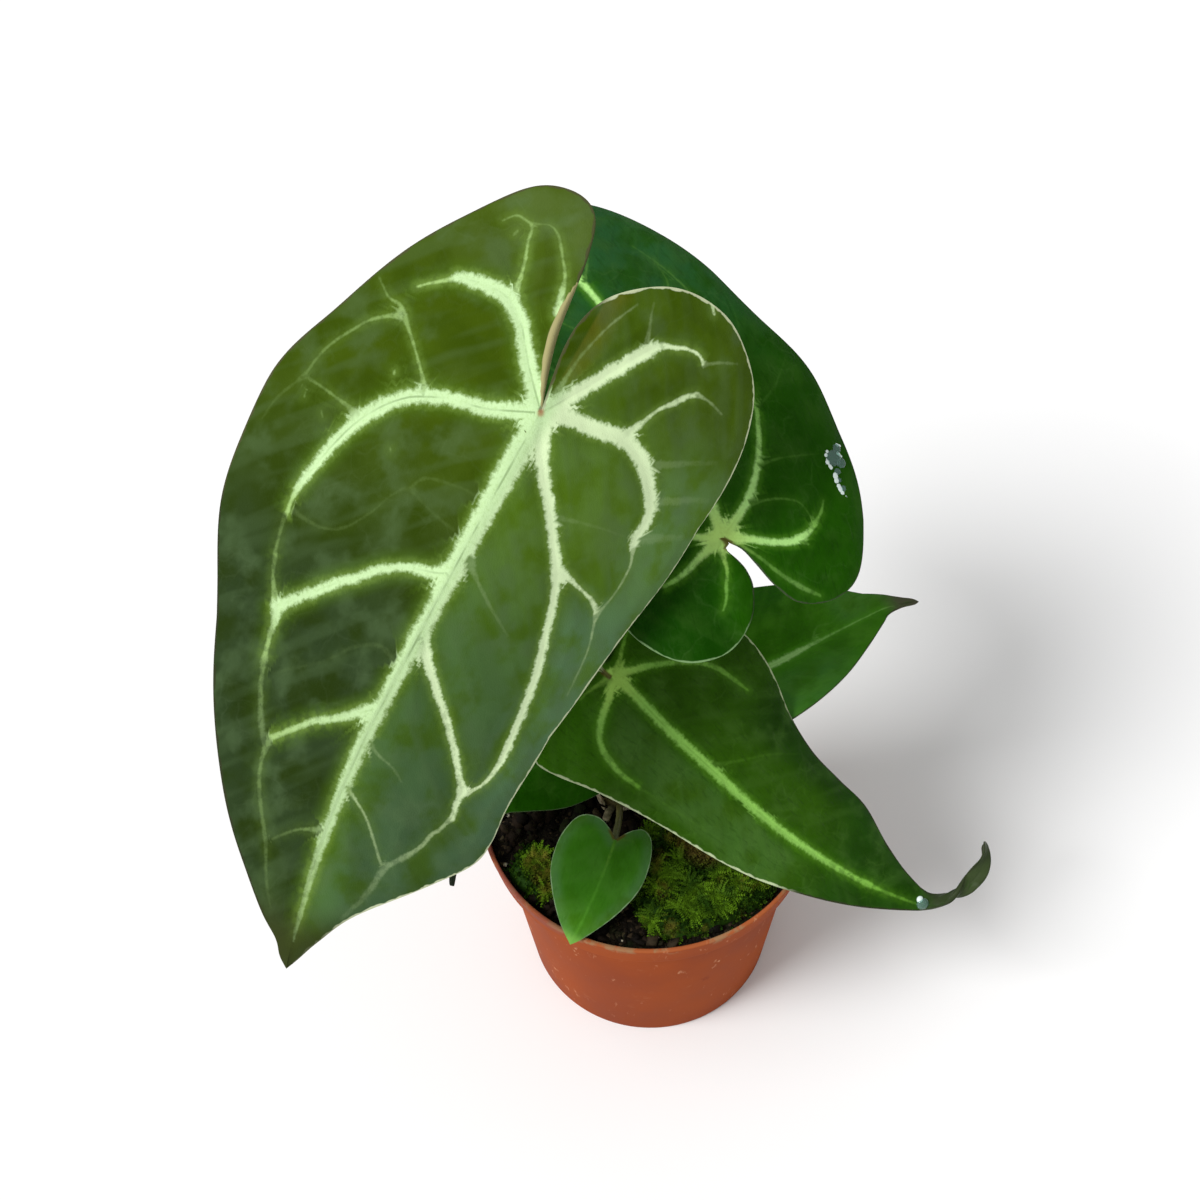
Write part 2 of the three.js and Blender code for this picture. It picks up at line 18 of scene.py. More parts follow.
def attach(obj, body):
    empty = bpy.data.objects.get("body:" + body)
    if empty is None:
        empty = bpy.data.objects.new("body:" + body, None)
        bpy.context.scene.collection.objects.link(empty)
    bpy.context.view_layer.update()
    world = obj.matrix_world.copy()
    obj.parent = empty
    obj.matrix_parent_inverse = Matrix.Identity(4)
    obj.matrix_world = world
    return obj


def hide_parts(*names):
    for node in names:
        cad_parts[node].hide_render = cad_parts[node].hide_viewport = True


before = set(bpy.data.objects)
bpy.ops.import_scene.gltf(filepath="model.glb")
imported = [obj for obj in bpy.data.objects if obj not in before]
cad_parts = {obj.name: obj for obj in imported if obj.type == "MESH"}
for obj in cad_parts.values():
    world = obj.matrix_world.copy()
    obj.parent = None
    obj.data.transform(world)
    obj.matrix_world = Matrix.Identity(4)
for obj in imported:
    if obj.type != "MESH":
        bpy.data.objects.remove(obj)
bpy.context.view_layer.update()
scene = bpy.context.scene
MM = 0.001  # all shapes below are worked out in millimetres


def add_object(name, data):
    made = bpy.data.objects.new(name, data)
    scene.collection.objects.link(made)
    return made


def mesh_from(name, bm):
    mesh = bpy.data.meshes.new(name)
    bm.to_mesh(mesh)
    bm.free()
    return mesh


# %% [markdown]
# ## Camera
# The photograph looks steeply down from the front. The camera was placed by matching the round rim
# and foot of the pot. It has three turns: a tilt from straight down, a turn to the left, and a lean.

# %% Camera at the photograph's viewing angle
CAMERA_PLACE = Vector((0.003, -0.287, 0.592))
CAMERA_TILT, CAMERA_TURN, CAMERA_LEAN = (math.radians(angle) for angle in (37.1, 3.4, -2.6))
LENS_LENGTH, SENSOR_WIDTH = 48, 36

camera_data = bpy.data.cameras.new("camera")
camera_data.lens = LENS_LENGTH
camera_data.sensor_width = SENSOR_WIDTH
camera_data.clip_start = 0.01
camera = add_object("camera", camera_data)
aim = Euler((CAMERA_TILT, 0, CAMERA_TURN)).to_matrix().to_4x4()
camera.matrix_world = Matrix.Translation(CAMERA_PLACE) @ aim @ Matrix.Rotation(CAMERA_LEAN, 4, "Z")
scene.camera = camera
print("camera at", [round(c, 3) for c in camera.location])

# %% [markdown]
# ## Lamp
# A studio photograph on white has one big soft lamp, here far off at the left front, so the leaves
# throw one soft shadow to the right. A sun with a wide angle lights the whole floor evenly.

# %% One soft lamp
LAMP_SIDE = Vector((-0.8, -0.4, 1))
LAMP_STRENGTH, LAMP_WIDTH = 2.9, math.radians(26)

scene.view_settings.view_transform = "Standard"
lamp_data = bpy.data.lights.new("soft_lamp", "SUN")
lamp_data.energy = LAMP_STRENGTH
lamp_data.angle = LAMP_WIDTH
lamp = add_object("soft_lamp", lamp_data)
lamp.location = LAMP_SIDE
lamp.rotation_euler = LAMP_SIDE.to_track_quat("Z", "Y").to_euler()
print("lamp of strength", LAMP_STRENGTH, "from", list(LAMP_SIDE))

# %% [markdown]
# ## Room
# The white room gives light from all round. A Light Path node makes it dimmer in reflections, so that
# glossy leaves stay green, and plain white where the camera looks past the floor.

# %% Light from all round
WHITE = (1, 1, 1, 1)
ROOM_STRENGTH, REFLECTED_STRENGTH, SEEN_STRENGTH = 0.5, 0.3, 1

world = bpy.data.worlds.new("studio")
world.use_nodes = True
scene.world = world
world_nodes, world_links = world.node_tree.nodes, world.node_tree.links
room_light = world_nodes["Background"]
room_light.inputs["Color"].default_value = WHITE
room_light.inputs["Strength"].default_value = ROOM_STRENGTH
sight = world_nodes.new("ShaderNodeLightPath")
seen = room_light.outputs[0]
for ray_kind, brightness in (("Is Glossy Ray", REFLECTED_STRENGTH), ("Is Camera Ray", SEEN_STRENGTH)):
    wall = world_nodes.new("ShaderNodeBackground")
    wall.inputs["Color"].default_value = WHITE
    wall.inputs["Strength"].default_value = brightness
    pick = world_nodes.new("ShaderNodeMixShader")
    world_links.new(sight.outputs[ray_kind], pick.inputs[0])
    world_links.new(seen, pick.inputs[1])
    world_links.new(wall.outputs[0], pick.inputs[2])
    seen = pick.outputs[0]
world_links.new(seen, world_nodes["World Output"].inputs[0])
print("room light", ROOM_STRENGTH, "in reflections", REFLECTED_STRENGTH)

# %% [markdown]
# ## Materials as graphs
# Every finish is worked out by nodes, not by pictures. A small class keeps these graphs readable:
# each call adds one node and gives back its output for the next call.

# %% A short way to write shader graphs
class Finish:
    """One material. Values that are the same all over go straight onto the shader."""

    def __init__(self, name, **constants):
        self.material = bpy.data.materials.new(name)
        self.material.use_nodes = True
        self.nodes = self.material.node_tree.nodes
        self.links = self.material.node_tree.links
        self.shader = self.nodes["Principled BSDF"]
        self.wear(**constants)

    def node(self, kind, output, settings=None, **inputs):
        """Adds a node. An input is given by its name, or by its number as i0, i1 and so on."""
        made = self.nodes.new("ShaderNode" + kind)
        for key, value in (settings or {}).items():
            setattr(made, key, value)
        for key, value in inputs.items():
            self.put(value, made.inputs[int(key[1:]) if key[1:].isdigit() else key.replace("_", " ")])
        return made.outputs[output]

    def put(self, value, socket):
        """Links an output to a socket, or sets the socket's value. A colour gets its alpha here."""
        if isinstance(value, bpy.types.NodeSocket):
            self.links.new(value, socket)
        else:
            socket.default_value = (*value, 1) if socket.type == "RGBA" else value

    def place(self):
        """The point's place on the object, in metres."""
        return self.node("TexCoord", "Object")

    def read(self, name, output="Fac"):
        """A value that was stored on the mesh."""
        return self.node("Attribute", output, {"attribute_name": name})

    def flat(self, x, y):
        return self.node("CombineXYZ", 0, None, X=x, Y=y, Z=0)

    def part(self, vector, number):
        """One of the three numbers of a vector."""
        return self.node("SeparateXYZ", number, None, Vector=vector)

    def math(self, operation, a, b=0):
        return self.node("Math", 0, {"operation": operation}, i0=a, i1=b)

    def times(self, a, b):
        return self.math("MULTIPLY", a, b)

    def plus(self, a, b):
        return self.math("ADD", a, b)

    def minus(self, a, b):
        return self.math("SUBTRACT", a, b)

    def length(self, vector):
        return self.node("VectorMath", "Value", {"operation": "LENGTH"}, i0=vector)

    def vector(self, operation, a, b, output=0):
        return self.node("VectorMath", output, {"operation": operation}, i0=a, i1=b)

    def step(self, value, start, end, low=0, high=1):
        """Goes smoothly from low, where value is start, to high, where it is end."""
        return self.node("MapRange", 0, {"interpolation_type": "SMOOTHSTEP"},
                         i0=value, i1=start, i2=end, i3=low, i4=high)

    def noise(self, where, scale, detail=3, rough=0.55):
        return self.node("TexNoise", 0, None, Vector=where, Scale=scale, Detail=detail, Roughness=rough)

    def cells(self, where, scale, feature="F1", output="Distance"):
        return self.node("TexVoronoi", output, {"feature": feature}, Vector=where, Scale=scale)

    def mix(self, share, a, b):
        """Colour a, with this share of colour b laid over it."""
        return self.node("Mix", 2, {"data_type": "RGBA"}, i0=share, i6=a, i7=b)

    def bump(self, height, strength, distance):
        return self.node("Bump", 0, None, Height=height, Strength=strength, Distance=distance)

    def wear(self, **outputs):
        """Sets or links the shader's inputs and gives back the material."""
        for key, value in outputs.items():
            self.put(value, self.shader.inputs[key.replace("_", " ")])
        return self.material


print("helpers of a finish:", len([name for name in vars(Finish) if name[0] != "_"]))

# %% [markdown]
# ## Floor
# The pot stands on a plain pale floor, far wider than the picture. It isn't part of the object.

# %% Pale floor
FLOOR_HALF = 6  # metres

floor_finish = Finish("pale_floor", Roughness=0.9, Base_Color=(0.9, 0.9, 0.9)).material
bm = bmesh.new()
bmesh.ops.create_grid(bm, x_segments=1, y_segments=1, size=FLOOR_HALF)
floor_mesh = mesh_from("floor", bm)
floor_mesh.materials.append(floor_finish)
floor = add_object("floor", floor_mesh)
print("floor", [round(c, 2) for c in floor.dimensions])

# %% [markdown]
# ## From a bmesh to a finished piece
# Each piece ends in the same way: scaled to metres, made a smooth mesh object with its finish, and
# set to ride on the one body, while the solids it stands for are hidden.

# %% Helper that finishes a piece
def make_piece(name, bm, material, nodes=(), recalc=True):
    if recalc:
        bmesh.ops.recalc_face_normals(bm, faces=bm.faces)
    bmesh.ops.scale(bm, vec=(MM, MM, MM), verts=bm.verts)
    mesh = mesh_from(name, bm)
    mesh.shade_smooth()
    mesh.materials.append(material)
    piece = add_object(name, mesh)
    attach(piece, "root")
    if nodes:
        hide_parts(*nodes)
    print(name, len(mesh.polygons), "faces")
    return piece

print("pieces are drawn in millimetres and scaled by", MM)

# %% [markdown]
# ## The leaves' shape
# A leaf is a flat heart that is then bent. Its outline is drawn flat, along and across the midrib,
# which bends and sweeps, and each half folds and cups away from it. The values are those of the
# solids. Only three outlines are a little finer here, and the tip of blade_3 curls more.

# %% Values of the six blades
BLADES = {}
BLADES["blade_1"] = dict(
    hub=(-28.3, 11.7, 279.8), turns=(-122, -28, 15), length=184,
    bend=[(-0.45, 8), (0, 0), (0.5, -10), (1, -28)],
    sweep=[(-0.3, 0), (0, -1.6), (0.5, -0.8), (1, 13.7)],
    fold=(-2, -34), cup=(-12, -35), ease=[(-0.35, 0.85), (0, 1), (0.45, 1), (0.75, 0.7), (1, 0.35)],
    wave=(0.8, 46),
    left=[(0, 0), (-20, -6.5), (-45, -10.5), (-56.5, -15), (-59.5, -24), (-55, -35), (-39, -47.3),
        (-20.5, -58), (0, -66.3), (28, -73.7), (61, -69), (98, -50.3), (131, -31.2), (150, -17.3),
        (160, -10), (166, -4.8), (171, -2.6), (174.5, 0)],
    right=[(0, 0), (-18, -3.5), (-30, -2.5), (-40, 3), (-50, 15), (-54, 29), (-52, 43), (-41, 60),
        (-20, 70), (11, 71.5), (45, 65), (78, 59), (108, 51.5), (123, 49.5), (132, 45.5), (142, 32.5),
        (154, 15.6), (164, 7.3), (171, 2.6), (174.5, 0)],
)
BLADES["blade_2"] = dict(
    hub=(22.8, 24.1, 211.6), turns=(114, 24, -6), length=170,
    bend=[(-0.45, 0), (0, 0), (0.5, -12), (0.76, -25), (0.9, -62)],
    sweep=[(-0.3, 0), (0, -7), (0.5, 11), (1, 15)],
    fold=(-6, -6), cup=(-15, -15), ease=[(0, 1), (1, 1)],
    wave=(0.7, 40),
    left=[(0, 0), (-1.8, -2.1), (-4.6, -5.8), (-10, -8.9), (-18, -13), (-25, -19), (-27, -30),
        (-23, -41), (-12, -49), (6, -55), (25, -56.5), (45, -57.5), (66, -50), (91, -44), (115, -36),
        (131, -26), (142, -13), (150, 0)],
    right=[(0, 0), (-1.9, -1.8), (-3, -0.6), (-4.2, -0.4), (-8, -2.9), (-12, -4.6), (-18, -4.8),
        (-27, -1), (-34, 8), (-34.5, 19), (-30, 28), (-20, 36), (-4, 41), (18, 42), (45, 42), (72, 39),
        (100, 32), (122, 22), (139, 10), (150, 0)],
)
BLADES["blade_3"] = dict(
    hub=(-12, 6, 162), turns=(-20, -30, -8), length=172,
    bend=[(-0.45, 2), (0, 0), (0.45, -10), (0.8, 0), (0.87, 36), (0.94, 29), (1.06, 62)],
    sweep=[(-0.3, -5), (0, -5.5), (0.3, -8), (0.6, 3.5), (0.8, 15), (0.94, 85), (1.06, 230)],
    twist=[(0.82, 0), (0.87, -77), (0.93, -215), (1, -180)], roll=(152, 8, 0.7),
    fold=(-14, 2), cup=(-20, -8), ease=[(0, 1), (1, 1)],
    wave=(0.9, 37),
    left=[(0, 0), (-3.6, -0.2), (-5.8, -1.2), (-6.4, -8), (-7, -17), (-8, -27), (-4, -36), (5, -36),
        (20, -32), (38, -28), (60, -24), (80, -20), (98, -15), (116, -10), (132, -5.5), (144, -2.8),
        (154, -2.7), (163, -3.1), (172, -2.6), (177, -1.5), (180, 0)],
    right=[(0, 0), (-3.6, 0.1), (-5.8, 1.4), (-6.2, 8), (-6.2, 18), (-6, 28), (0, 38), (12, 44),
        (28, 45), (42, 42), (60, 34), (76, 29), (93, 27), (108, 24), (122, 15), (133, 8), (144, 2.9),
        (154, 2.7), (163, 3.1), (172, 2.6), (177, 1.5), (180, 0)],
)
BLADES["blade_4"] = dict(
    hub=(11, 25, 118), turns=(29, 8, 4), length=112,
    bend=[(-0.45, 2), (0, 0), (0.5, -6), (1, -10)],
    sweep=[(0, -6), (0.72, 2.5), (0.77, -12), (0.88, -18)],
    fold=(12, 12), cup=(-14, -14), ease=[(0, 1), (1, 1)],
    wave=(0.5, 33),
    left=[(0, 0), (-9, -3), (-15, -9), (-15, -20), (-4, -28), (12, -30), (28, -28.5), (42, -25.5),
        (55, -20.5), (68, -13.2), (79, -6.4), (84, -3.4), (90, -1.5), (95, -1.1), (97, 0)],
    right=[(0, 0), (-9, 4), (-15, 12), (-14, 23), (-4, 31), (13, 35), (30, 34), (46, 30), (61, 24),
        (74, 14.4), (81, 8.6), (86, 5.4), (91, 3), (95, 1.5), (97, 0)],
)
BLADES["blade_5"] = dict(
    hub=(-11, -26, 112), turns=(-112, -14, 16), length=38,
    bend=[(-0.45, 2), (0, 0), (1, -14)],
    sweep=[(0, 4), (1, -5)],
    fold=(-5, -5), cup=(-20, -20), ease=[(0, 1), (1, 1)],
    wave=(0.2, 20),
    left=[(0, 0), (-3, -3), (-5.5, -8), (-4, -14), (3, -17.5), (12, -18), (20, -16), (28, -11),
        (34, -5.5), (38, 0)],
    right=[(0, 0), (-4, 3.5), (-6.5, 8), (-4, 12), (4, 14), (13, 13.5), (22, 10), (30, 5.5), (35, 2.4),
        (38, 0)],
)
BLADES["blade_6"] = dict(
    hub=(-24, 3, 119), turns=(-160, 2, 6), length=75,
    bend=[(-0.45, 0), (0, 0), (0.4, 9), (0.7, -51), (1, -73)],
    sweep=[(0, -6), (0.5, 30), (1, 60)],
    fold=(-6, -6), cup=(-14, -14), ease=[(0, 1), (1, 1)],
    wave=(0.3, 26),
    left=[(0, 0), (-5, -3), (-8, -9), (-5, -15), (5, -17.5), (18, -17), (32, -12.5), (45, -7),
        (56, -3.5), (66, -1.6), (74.3, -0.9), (75, 0)],
    right=[(0, 0), (-5, 3), (-8, 9), (-5, 14.5), (5, 17), (16, 16.5), (28, 12.5), (38, 7.5), (50, 3.8),
        (64, 1.6), (74.3, 0.9), (75, 0)],
)
print("blades:", len(BLADES))

# %% [markdown]
# ## Veins
# Anthurium veins leave the hub as a star. The basal ones arch round the lobes, the laterals leave
# the midrib, and all end in a thin vein inside the margin. Each is listed flat: how strongly it
# shows, then points along and across the midrib with half the pale band's width.

# %% The veins of each blade
VEINS = {}
VEINS["blade_1"] = [
    (1, (-1, 0, 2), (2, 0, 2.6), (12, 0, 3), (25, 0.1, 2.9), (45, 0.3, 2.6), (62, 0.5, 2.2), (80, 0.5, 1.9),
     (100, 0.4, 1.6), (120, 0.5, 1.3), (138, 0.6, 0.85), (152, 0.6, 0.6), (165, 0.4, 0.25)),
    (1, (0, 0, 2.4), (-5, -5, 2.3), (-10, -9.7, 2.2), (-15, -13.8, 1.9), (-19, -17.2, 2), (-22, -21, 2.1),
     (-24, -25, 2.2), (-24.3, -30, 2.1), (-23.6, -35, 1.8), (-22.6, -39, 1.3), (-20.5, -41.5, 0.6),
     (-18, -45, 0.4), (-15, -48.2, 0.3)),
    ((1, 0.45), (-26, -23, 0.8), (-31, -24, 0.45), (-36, -25.3, 0.4), (-40, -26.9, 0.35),
     (-45, -28.3, 0.35), (-46, -31, 0.3), (-46, -34, 0.25), (-43, -36.5, 0.2)),
    ((1, 0.35), (-26, -10, 0.9), (-31, -11.4, 0.8), (-36, -13, 0.45), (-40, -15.7, 0.35), (-43, -18, 0.35),
     (-46, -20.5, 0.25), (-47.6, -24, 0.2), (-46, -28, 0.2)),
    (1, (0, 0, 2.2), (4.6, -10, 2.1), (6.5, -15, 1.9), (7.6, -20, 1.8), (8.8, -25, 1.8), (11, -30, 1.9),
     (14, -35, 1.9), (20, -40.3, 2.1), (29, -45, 1.8), (40, -48, 1.4), (47, -49.4, 1.1), (53, -49.6, 0.6),
     (58, -48.5, 0.25)),
    ((0.25, 0.6), (58, -49, 0.4), (66, -47, 0.5), (69, -46, 0.5)),
    ((0.3, 0.7), (69, -46, 0.4), (74, -44, 0.5), (79, -40.5, 0.6)),
    ((0.8, 0.6), (9.5, -31.5, 0.9), (6.7, -34, 0.45), (3.3, -37.4, 0.3), (-1, -42, 0.3), (-5, -46.5, 0.5),
     (-6, -48.2, 0.8)),
    ((0.7, 0.3), (-5.6, -48, 0.7), (-3.5, -51.7, 0.5), (0, -55.8, 0.35), (5, -58.8, 0.35), (11, -62, 0.35),
     (16, -63.3, 0.35), (22, -63.8, 0.4)),
    ((0.8, 0.25), (-6, -48, 0.7), (-8, -50, 0.5), (-8.6, -54, 0.3), (-10.5, -57, 0.25),
     (-12.5, -59.8, 0.2)),
    ((0.75, 0.3), (24.5, -44.5, 1.3), (23.7, -47.5, 0.6), (23.2, -51.5, 0.35), (22.4, -57.5, 0.3),
     (22, -63.5, 0.35)),
    ((0.25, 0.12), (22, -64, 0.4), (30, -67.5, 0.35), (38, -69, 0.3)),
    (1, (49.5, 0, 2), (51.5, -4, 1.6), (53.8, -11, 1.1), (57.5, -17, 1.1), (62, -21.3, 1.1),
     (69, -28.5, 1.3), (76, -34.5, 1.3), (81, -38.8, 1.2)),
    ((1, 0.7), (80, -38.6, 1.2), (85, -37.4, 0.9), (90, -36.6, 0.6), (95, -35, 0.6)),
    ((0.45, 0.25), (95, -35, 0.6), (102, -32.3, 0.6), (111, -27.4, 0.8), (114, -24.5, 0.7)),
    ((0.45, 0.15), (113, -24, 0.7), (121, -23.3, 0.5), (130, -19.6, 0.5), (139, -14.8, 0.5),
     (150, -11.4, 0.4), (157, -8, 0.3)),
    (1, (92, -1, 1.7), (96, -5.5, 1.1), (99.6, -9.8, 0.9), (102, -13.5, 0.85), (105, -16.8, 0.75),
     (109, -20.5, 0.65), (112.8, -24, 0.55)),
    ((0.5, 0.2), (129.5, -1, 0.9), (131, -5, 0.4), (133, -8.3, 0.35), (137.5, -13, 0.3)),
    (1, (0, 0, 2.2), (-4, 2.6, 2.1), (-10, 6.2, 1.9), (-15, 9.2, 1.7), (-20, 11.9, 1.8), (-25, 14.8, 1.8),
     (-30, 17.6, 1.7), (-33, 19.8, 1.4), (-35, 22, 0.8), (-37.6, 26.5, 0.5), (-39.2, 30, 0.4),
     (-39.7, 33.5, 0.35), (-38.5, 36.8, 0.3)),
    ((0.3, 0.12), (-38.5, 36.8, 0.4), (-42, 41, 0.35), (-45, 46, 0.3)),
    ((0.3, 0.1), (-33, 17, 0.7), (-39, 13.8, 0.35), (-43, 12.5, 0.25)),
    ((0.6, 0.2), (-7, 0.9, 0.8), (-14, 1.3, 0.5), (-20, 2, 0.35), (-30, 4.5, 0.3), (-40, 8.5, 0.25)),
    (1, (0, 0, 2.2), (-1.8, 4, 2.2), (-3.3, 8.5, 2.1), (-4.4, 15, 2.1), (-5.8, 20, 2.2), (-6.8, 25, 2.1),
     (-6.8, 30, 2.2), (-5.4, 35, 2.3), (-2.6, 40, 2.2), (1.5, 45, 2.2), (5.5, 48, 1.8), (10, 49.2, 1.7),
     (14, 48.8, 1.6), (17.3, 49.2, 0.9)),
    ((0.6, 0.35), (17, 49.5, 0.6), (20, 51, 0.5), (24, 52.5, 0.4), (32, 52.5, 0.3), (41, 50.4, 0.4)),
    ((0.95, 0.8), (-8, 26.5, 1.3), (-11, 27.4, 1), (-15, 29.2, 0.65), (-20, 31.2, 0.4), (-24, 34.4, 0.7),
     (-28, 37.3, 0.75), (-30.5, 40, 0.4)),
    ((0.5, 0.2), (-30.5, 40, 0.4), (-31.3, 45, 0.35), (-31, 52, 0.25)),
    (1, (1, 1, 2.4), (6, 4, 2.2), (10, 6.6, 1.9), (15, 10.8, 1.6), (20, 15.8, 1.5), (25, 20.1, 1.4),
     (30, 24.4, 1.4), (35, 28.5, 1.5), (40, 31.4, 1.2), (50, 35.6, 1.2), (60, 38.6, 1.4), (70, 41.2, 1.3),
     (80, 43.1, 1.2), (90, 43.2, 1.1), (97, 42.4, 0.8), (103, 40.5, 0.5), (107, 36.8, 0.4)),
    ((1, 0.85), (35.5, 30, 1.8), (35.4, 33.5, 0.9), (36, 37, 0.55), (37, 42, 0.45), (38.5, 47, 0.75),
     (41, 50.2, 0.65)),
    ((0.5, 0.15), (41, 50.2, 0.5), (48, 52.8, 0.35), (58, 55, 0.35), (68, 55.5, 0.3)),
    (1, (68, 1, 1.8), (71.5, 4.2, 1.5), (75.5, 8, 1.1), (81, 13.5, 1), (85.5, 18.3, 0.9), (90, 22.3, 0.9),
     (95, 26.5, 0.9), (100, 30, 0.9), (104, 32.3, 0.85), (107, 34.6, 0.95)),
    ((1, 0.85), (107, 34.5, 1.1), (112, 33.9, 0.85), (117, 34.2, 0.65)),
    ((0.5, 0.35), (117, 34, 0.5), (121.5, 31.7, 0.6), (123.3, 29.9, 0.6), (128, 28, 0.6), (132, 24.6, 0.7)),
    ((0.3, 0.1), (132, 24.6, 0.8), (137, 20, 0.9), (146, 16.8, 0.8), (155, 12.2, 0.6)),
    ((0.6, 0.35), (115, 1, 0.8), (117, 3.8, 0.35), (121.5, 8.8, 0.3), (126, 12.3, 0.3), (136, 18.6, 0.3)),
    ((0.3, 0.12), (100, 1, 0.7), (103, 5, 0.35), (106, 11.5, 0.3), (109, 15, 0.25)),
    ((0.25, 0.1), (44, 2.5, 1.3), (48, 7.5, 0.5), (53, 15, 0.4), (58, 24, 0.3)),
    ((0.18, 0.08), (-7, 41, 1.2), (-13, 50, 0.8), (-19, 60, 0.6)),
    ((0.18, 0.08), (1, 50, 1.2), (-4, 58, 1), (-8, 66, 0.8)),
    ((0.18, 0.08), (14, 51, 1.5), (10, 58, 1.2), (6, 66, 0.8)),
    ((0.16, 0.06), (22, 20, 0.7), (19, 30, 0.4), (16, 44, 0.3)),
    ((0.2, 0.12), (56, -47, 0.7), (56, -38, 0.4), (53, -32, 0.35), (45, -27, 0.3), (39, -24.5, 0.3),
     (35.4, -21, 0.4), (37.5, -13, 0.3), (39, -5, 0.4)),
    ((0.2, 0.12), (35.4, -21, 0.4), (30.5, -18.5, 0.4), (28.3, -10, 0.35), (28, -5, 0.4)),
    ((0.16, 0.08), (77, -3, 0.8), (76, -8, 0.5), (80, -14, 0.5), (88, -20, 0.4), (97, -31, 0.3)),
    ((0.7, 0.7), (-54, 28.5, 0.4), (-52, 31, 0.35)),
    ((0.7, 0.7), (9, -41.9, 0.35), (9.6, -41.4, 0.3)),
    ((0.4, 0.4), (25.7, -61.2, 0.25), (27.3, -60.8, 0.25)),
    ((0.35, 0.35), (28.3, -54.2, 0.2), (29.4, -53, 0.2)),
    ((0.4, 0.4), (27.9, -31.2, 0.25), (28.8, -30.8, 0.25)),
    ((0.5, 0.5), (-42, -31.3, 0.25), (-40.6, -31.6, 0.25)),
]
VEINS["blade_2"] = [
    (1, (-1, 0, 1.4), (0, 0, 1.6), (30, 0, 1.4), (60, 0, 1.2), (100, 0, 0.9), (130, 0, 0.5), (148, 0, 0.2)),
    ((1, 0.7), (0, 0, 1.6), (9.4, -11.5, 1.1), (16.6, -17.6, 1), (23, -21.9, 0.9), (30, -25.5, 0.8),
     (38, -29, 0.6), (46, -31, 0.4)),
    ((0.6, 0.15), (46, -31, 0.4), (62, -33, 0.4), (84, -31, 0.35), (106, -26, 0.25)),
    ((1, 0.9), (0, 0, 1.4), (-1.2, -7, 1.2), (-3.2, -14, 1.1), (-4.5, -21, 1.1), (-4.2, -26, 1.1),
     (-2.3, -30.4, 0.9), (0, -33.5, 0.5)),
    ((0.8, 0.3), (0, -33.5, 0.5), (3.5, -37.6, 0.4), (7, -40, 0.25)),
    ((0.7, 0.4), (-4.2, -26, 0.7), (-6.5, -29, 0.3)),
    ((0.5, 0.4), (-3, -5.4, 0.4), (-8, -10.4, 0.5), (-14, -15.2, 0.6), (-20, -21, 0.8), (-24.5, -27, 0.5)),
    (0.9, (0, 0, 1.4), (-4.4, 8.4, 1), (-7.7, 13.7, 0.8), (-9.7, 19, 0.6), (-10.3, 22, 0.35)),
    ((0.25, 0.1), (-10.3, 22, 0.35), (-6, 31, 0.3), (6, 34, 0.25)),
    ((0.8, 0.5), (0, 0, 1.2), (-3, 1.2, 0.9), (-9.7, 1.4, 0.5), (-15, 3.2, 0.5), (-19, 4.5, 0.4),
     (-22, 6.5, 0.25)),
    (1, (0, 0, 1.3), (3, 10, 0.9), (12, 20, 0.8), (28, 27, 0.6), (50, 30, 0.45), (72, 28, 0.3)),
    ((0.7, 0.15), (36, 0, 0.8), (48, -14, 0.5), (60, -28, 0.35), (70, -33, 0.25)),
    ((0.7, 0.2), (38, 0, 0.8), (50, 12, 0.5), (64, 22, 0.35), (80, 27, 0.3)),
    ((0.5, 0.12), (66, 0, 0.7), (76, -13, 0.45), (86, -26, 0.3), (97, -27.5, 0.25)),
    ((0.5, 0.15), (68, 0, 0.7), (82, 10, 0.4), (98, 18, 0.3)),
    ((0.4, 0.1), (98, 0, 0.5), (110, -10, 0.35), (124, -18, 0.25)),
    ((0.4, 0.1), (100, 0, 0.5), (112, 8, 0.35), (124, 12, 0.25)),
    ((0.35, 0.12), (20.5, -20, 0.6), (21.2, -30, 0.3), (20.5, -44, 0.25)),
    ((0.4, 0.22), (9, -12, 0.5), (9.3, -22, 0.35), (7.4, -30, 0.3), (3, -33, 0.25)),
    ((0.18, 0.06), (38, -29, 0.5), (44, -40, 0.3), (52, -50, 0.2)),
    ((0.15, 0.06), (58, -33, 0.4), (66, -40, 0.3), (80, -44, 0.2)),
]
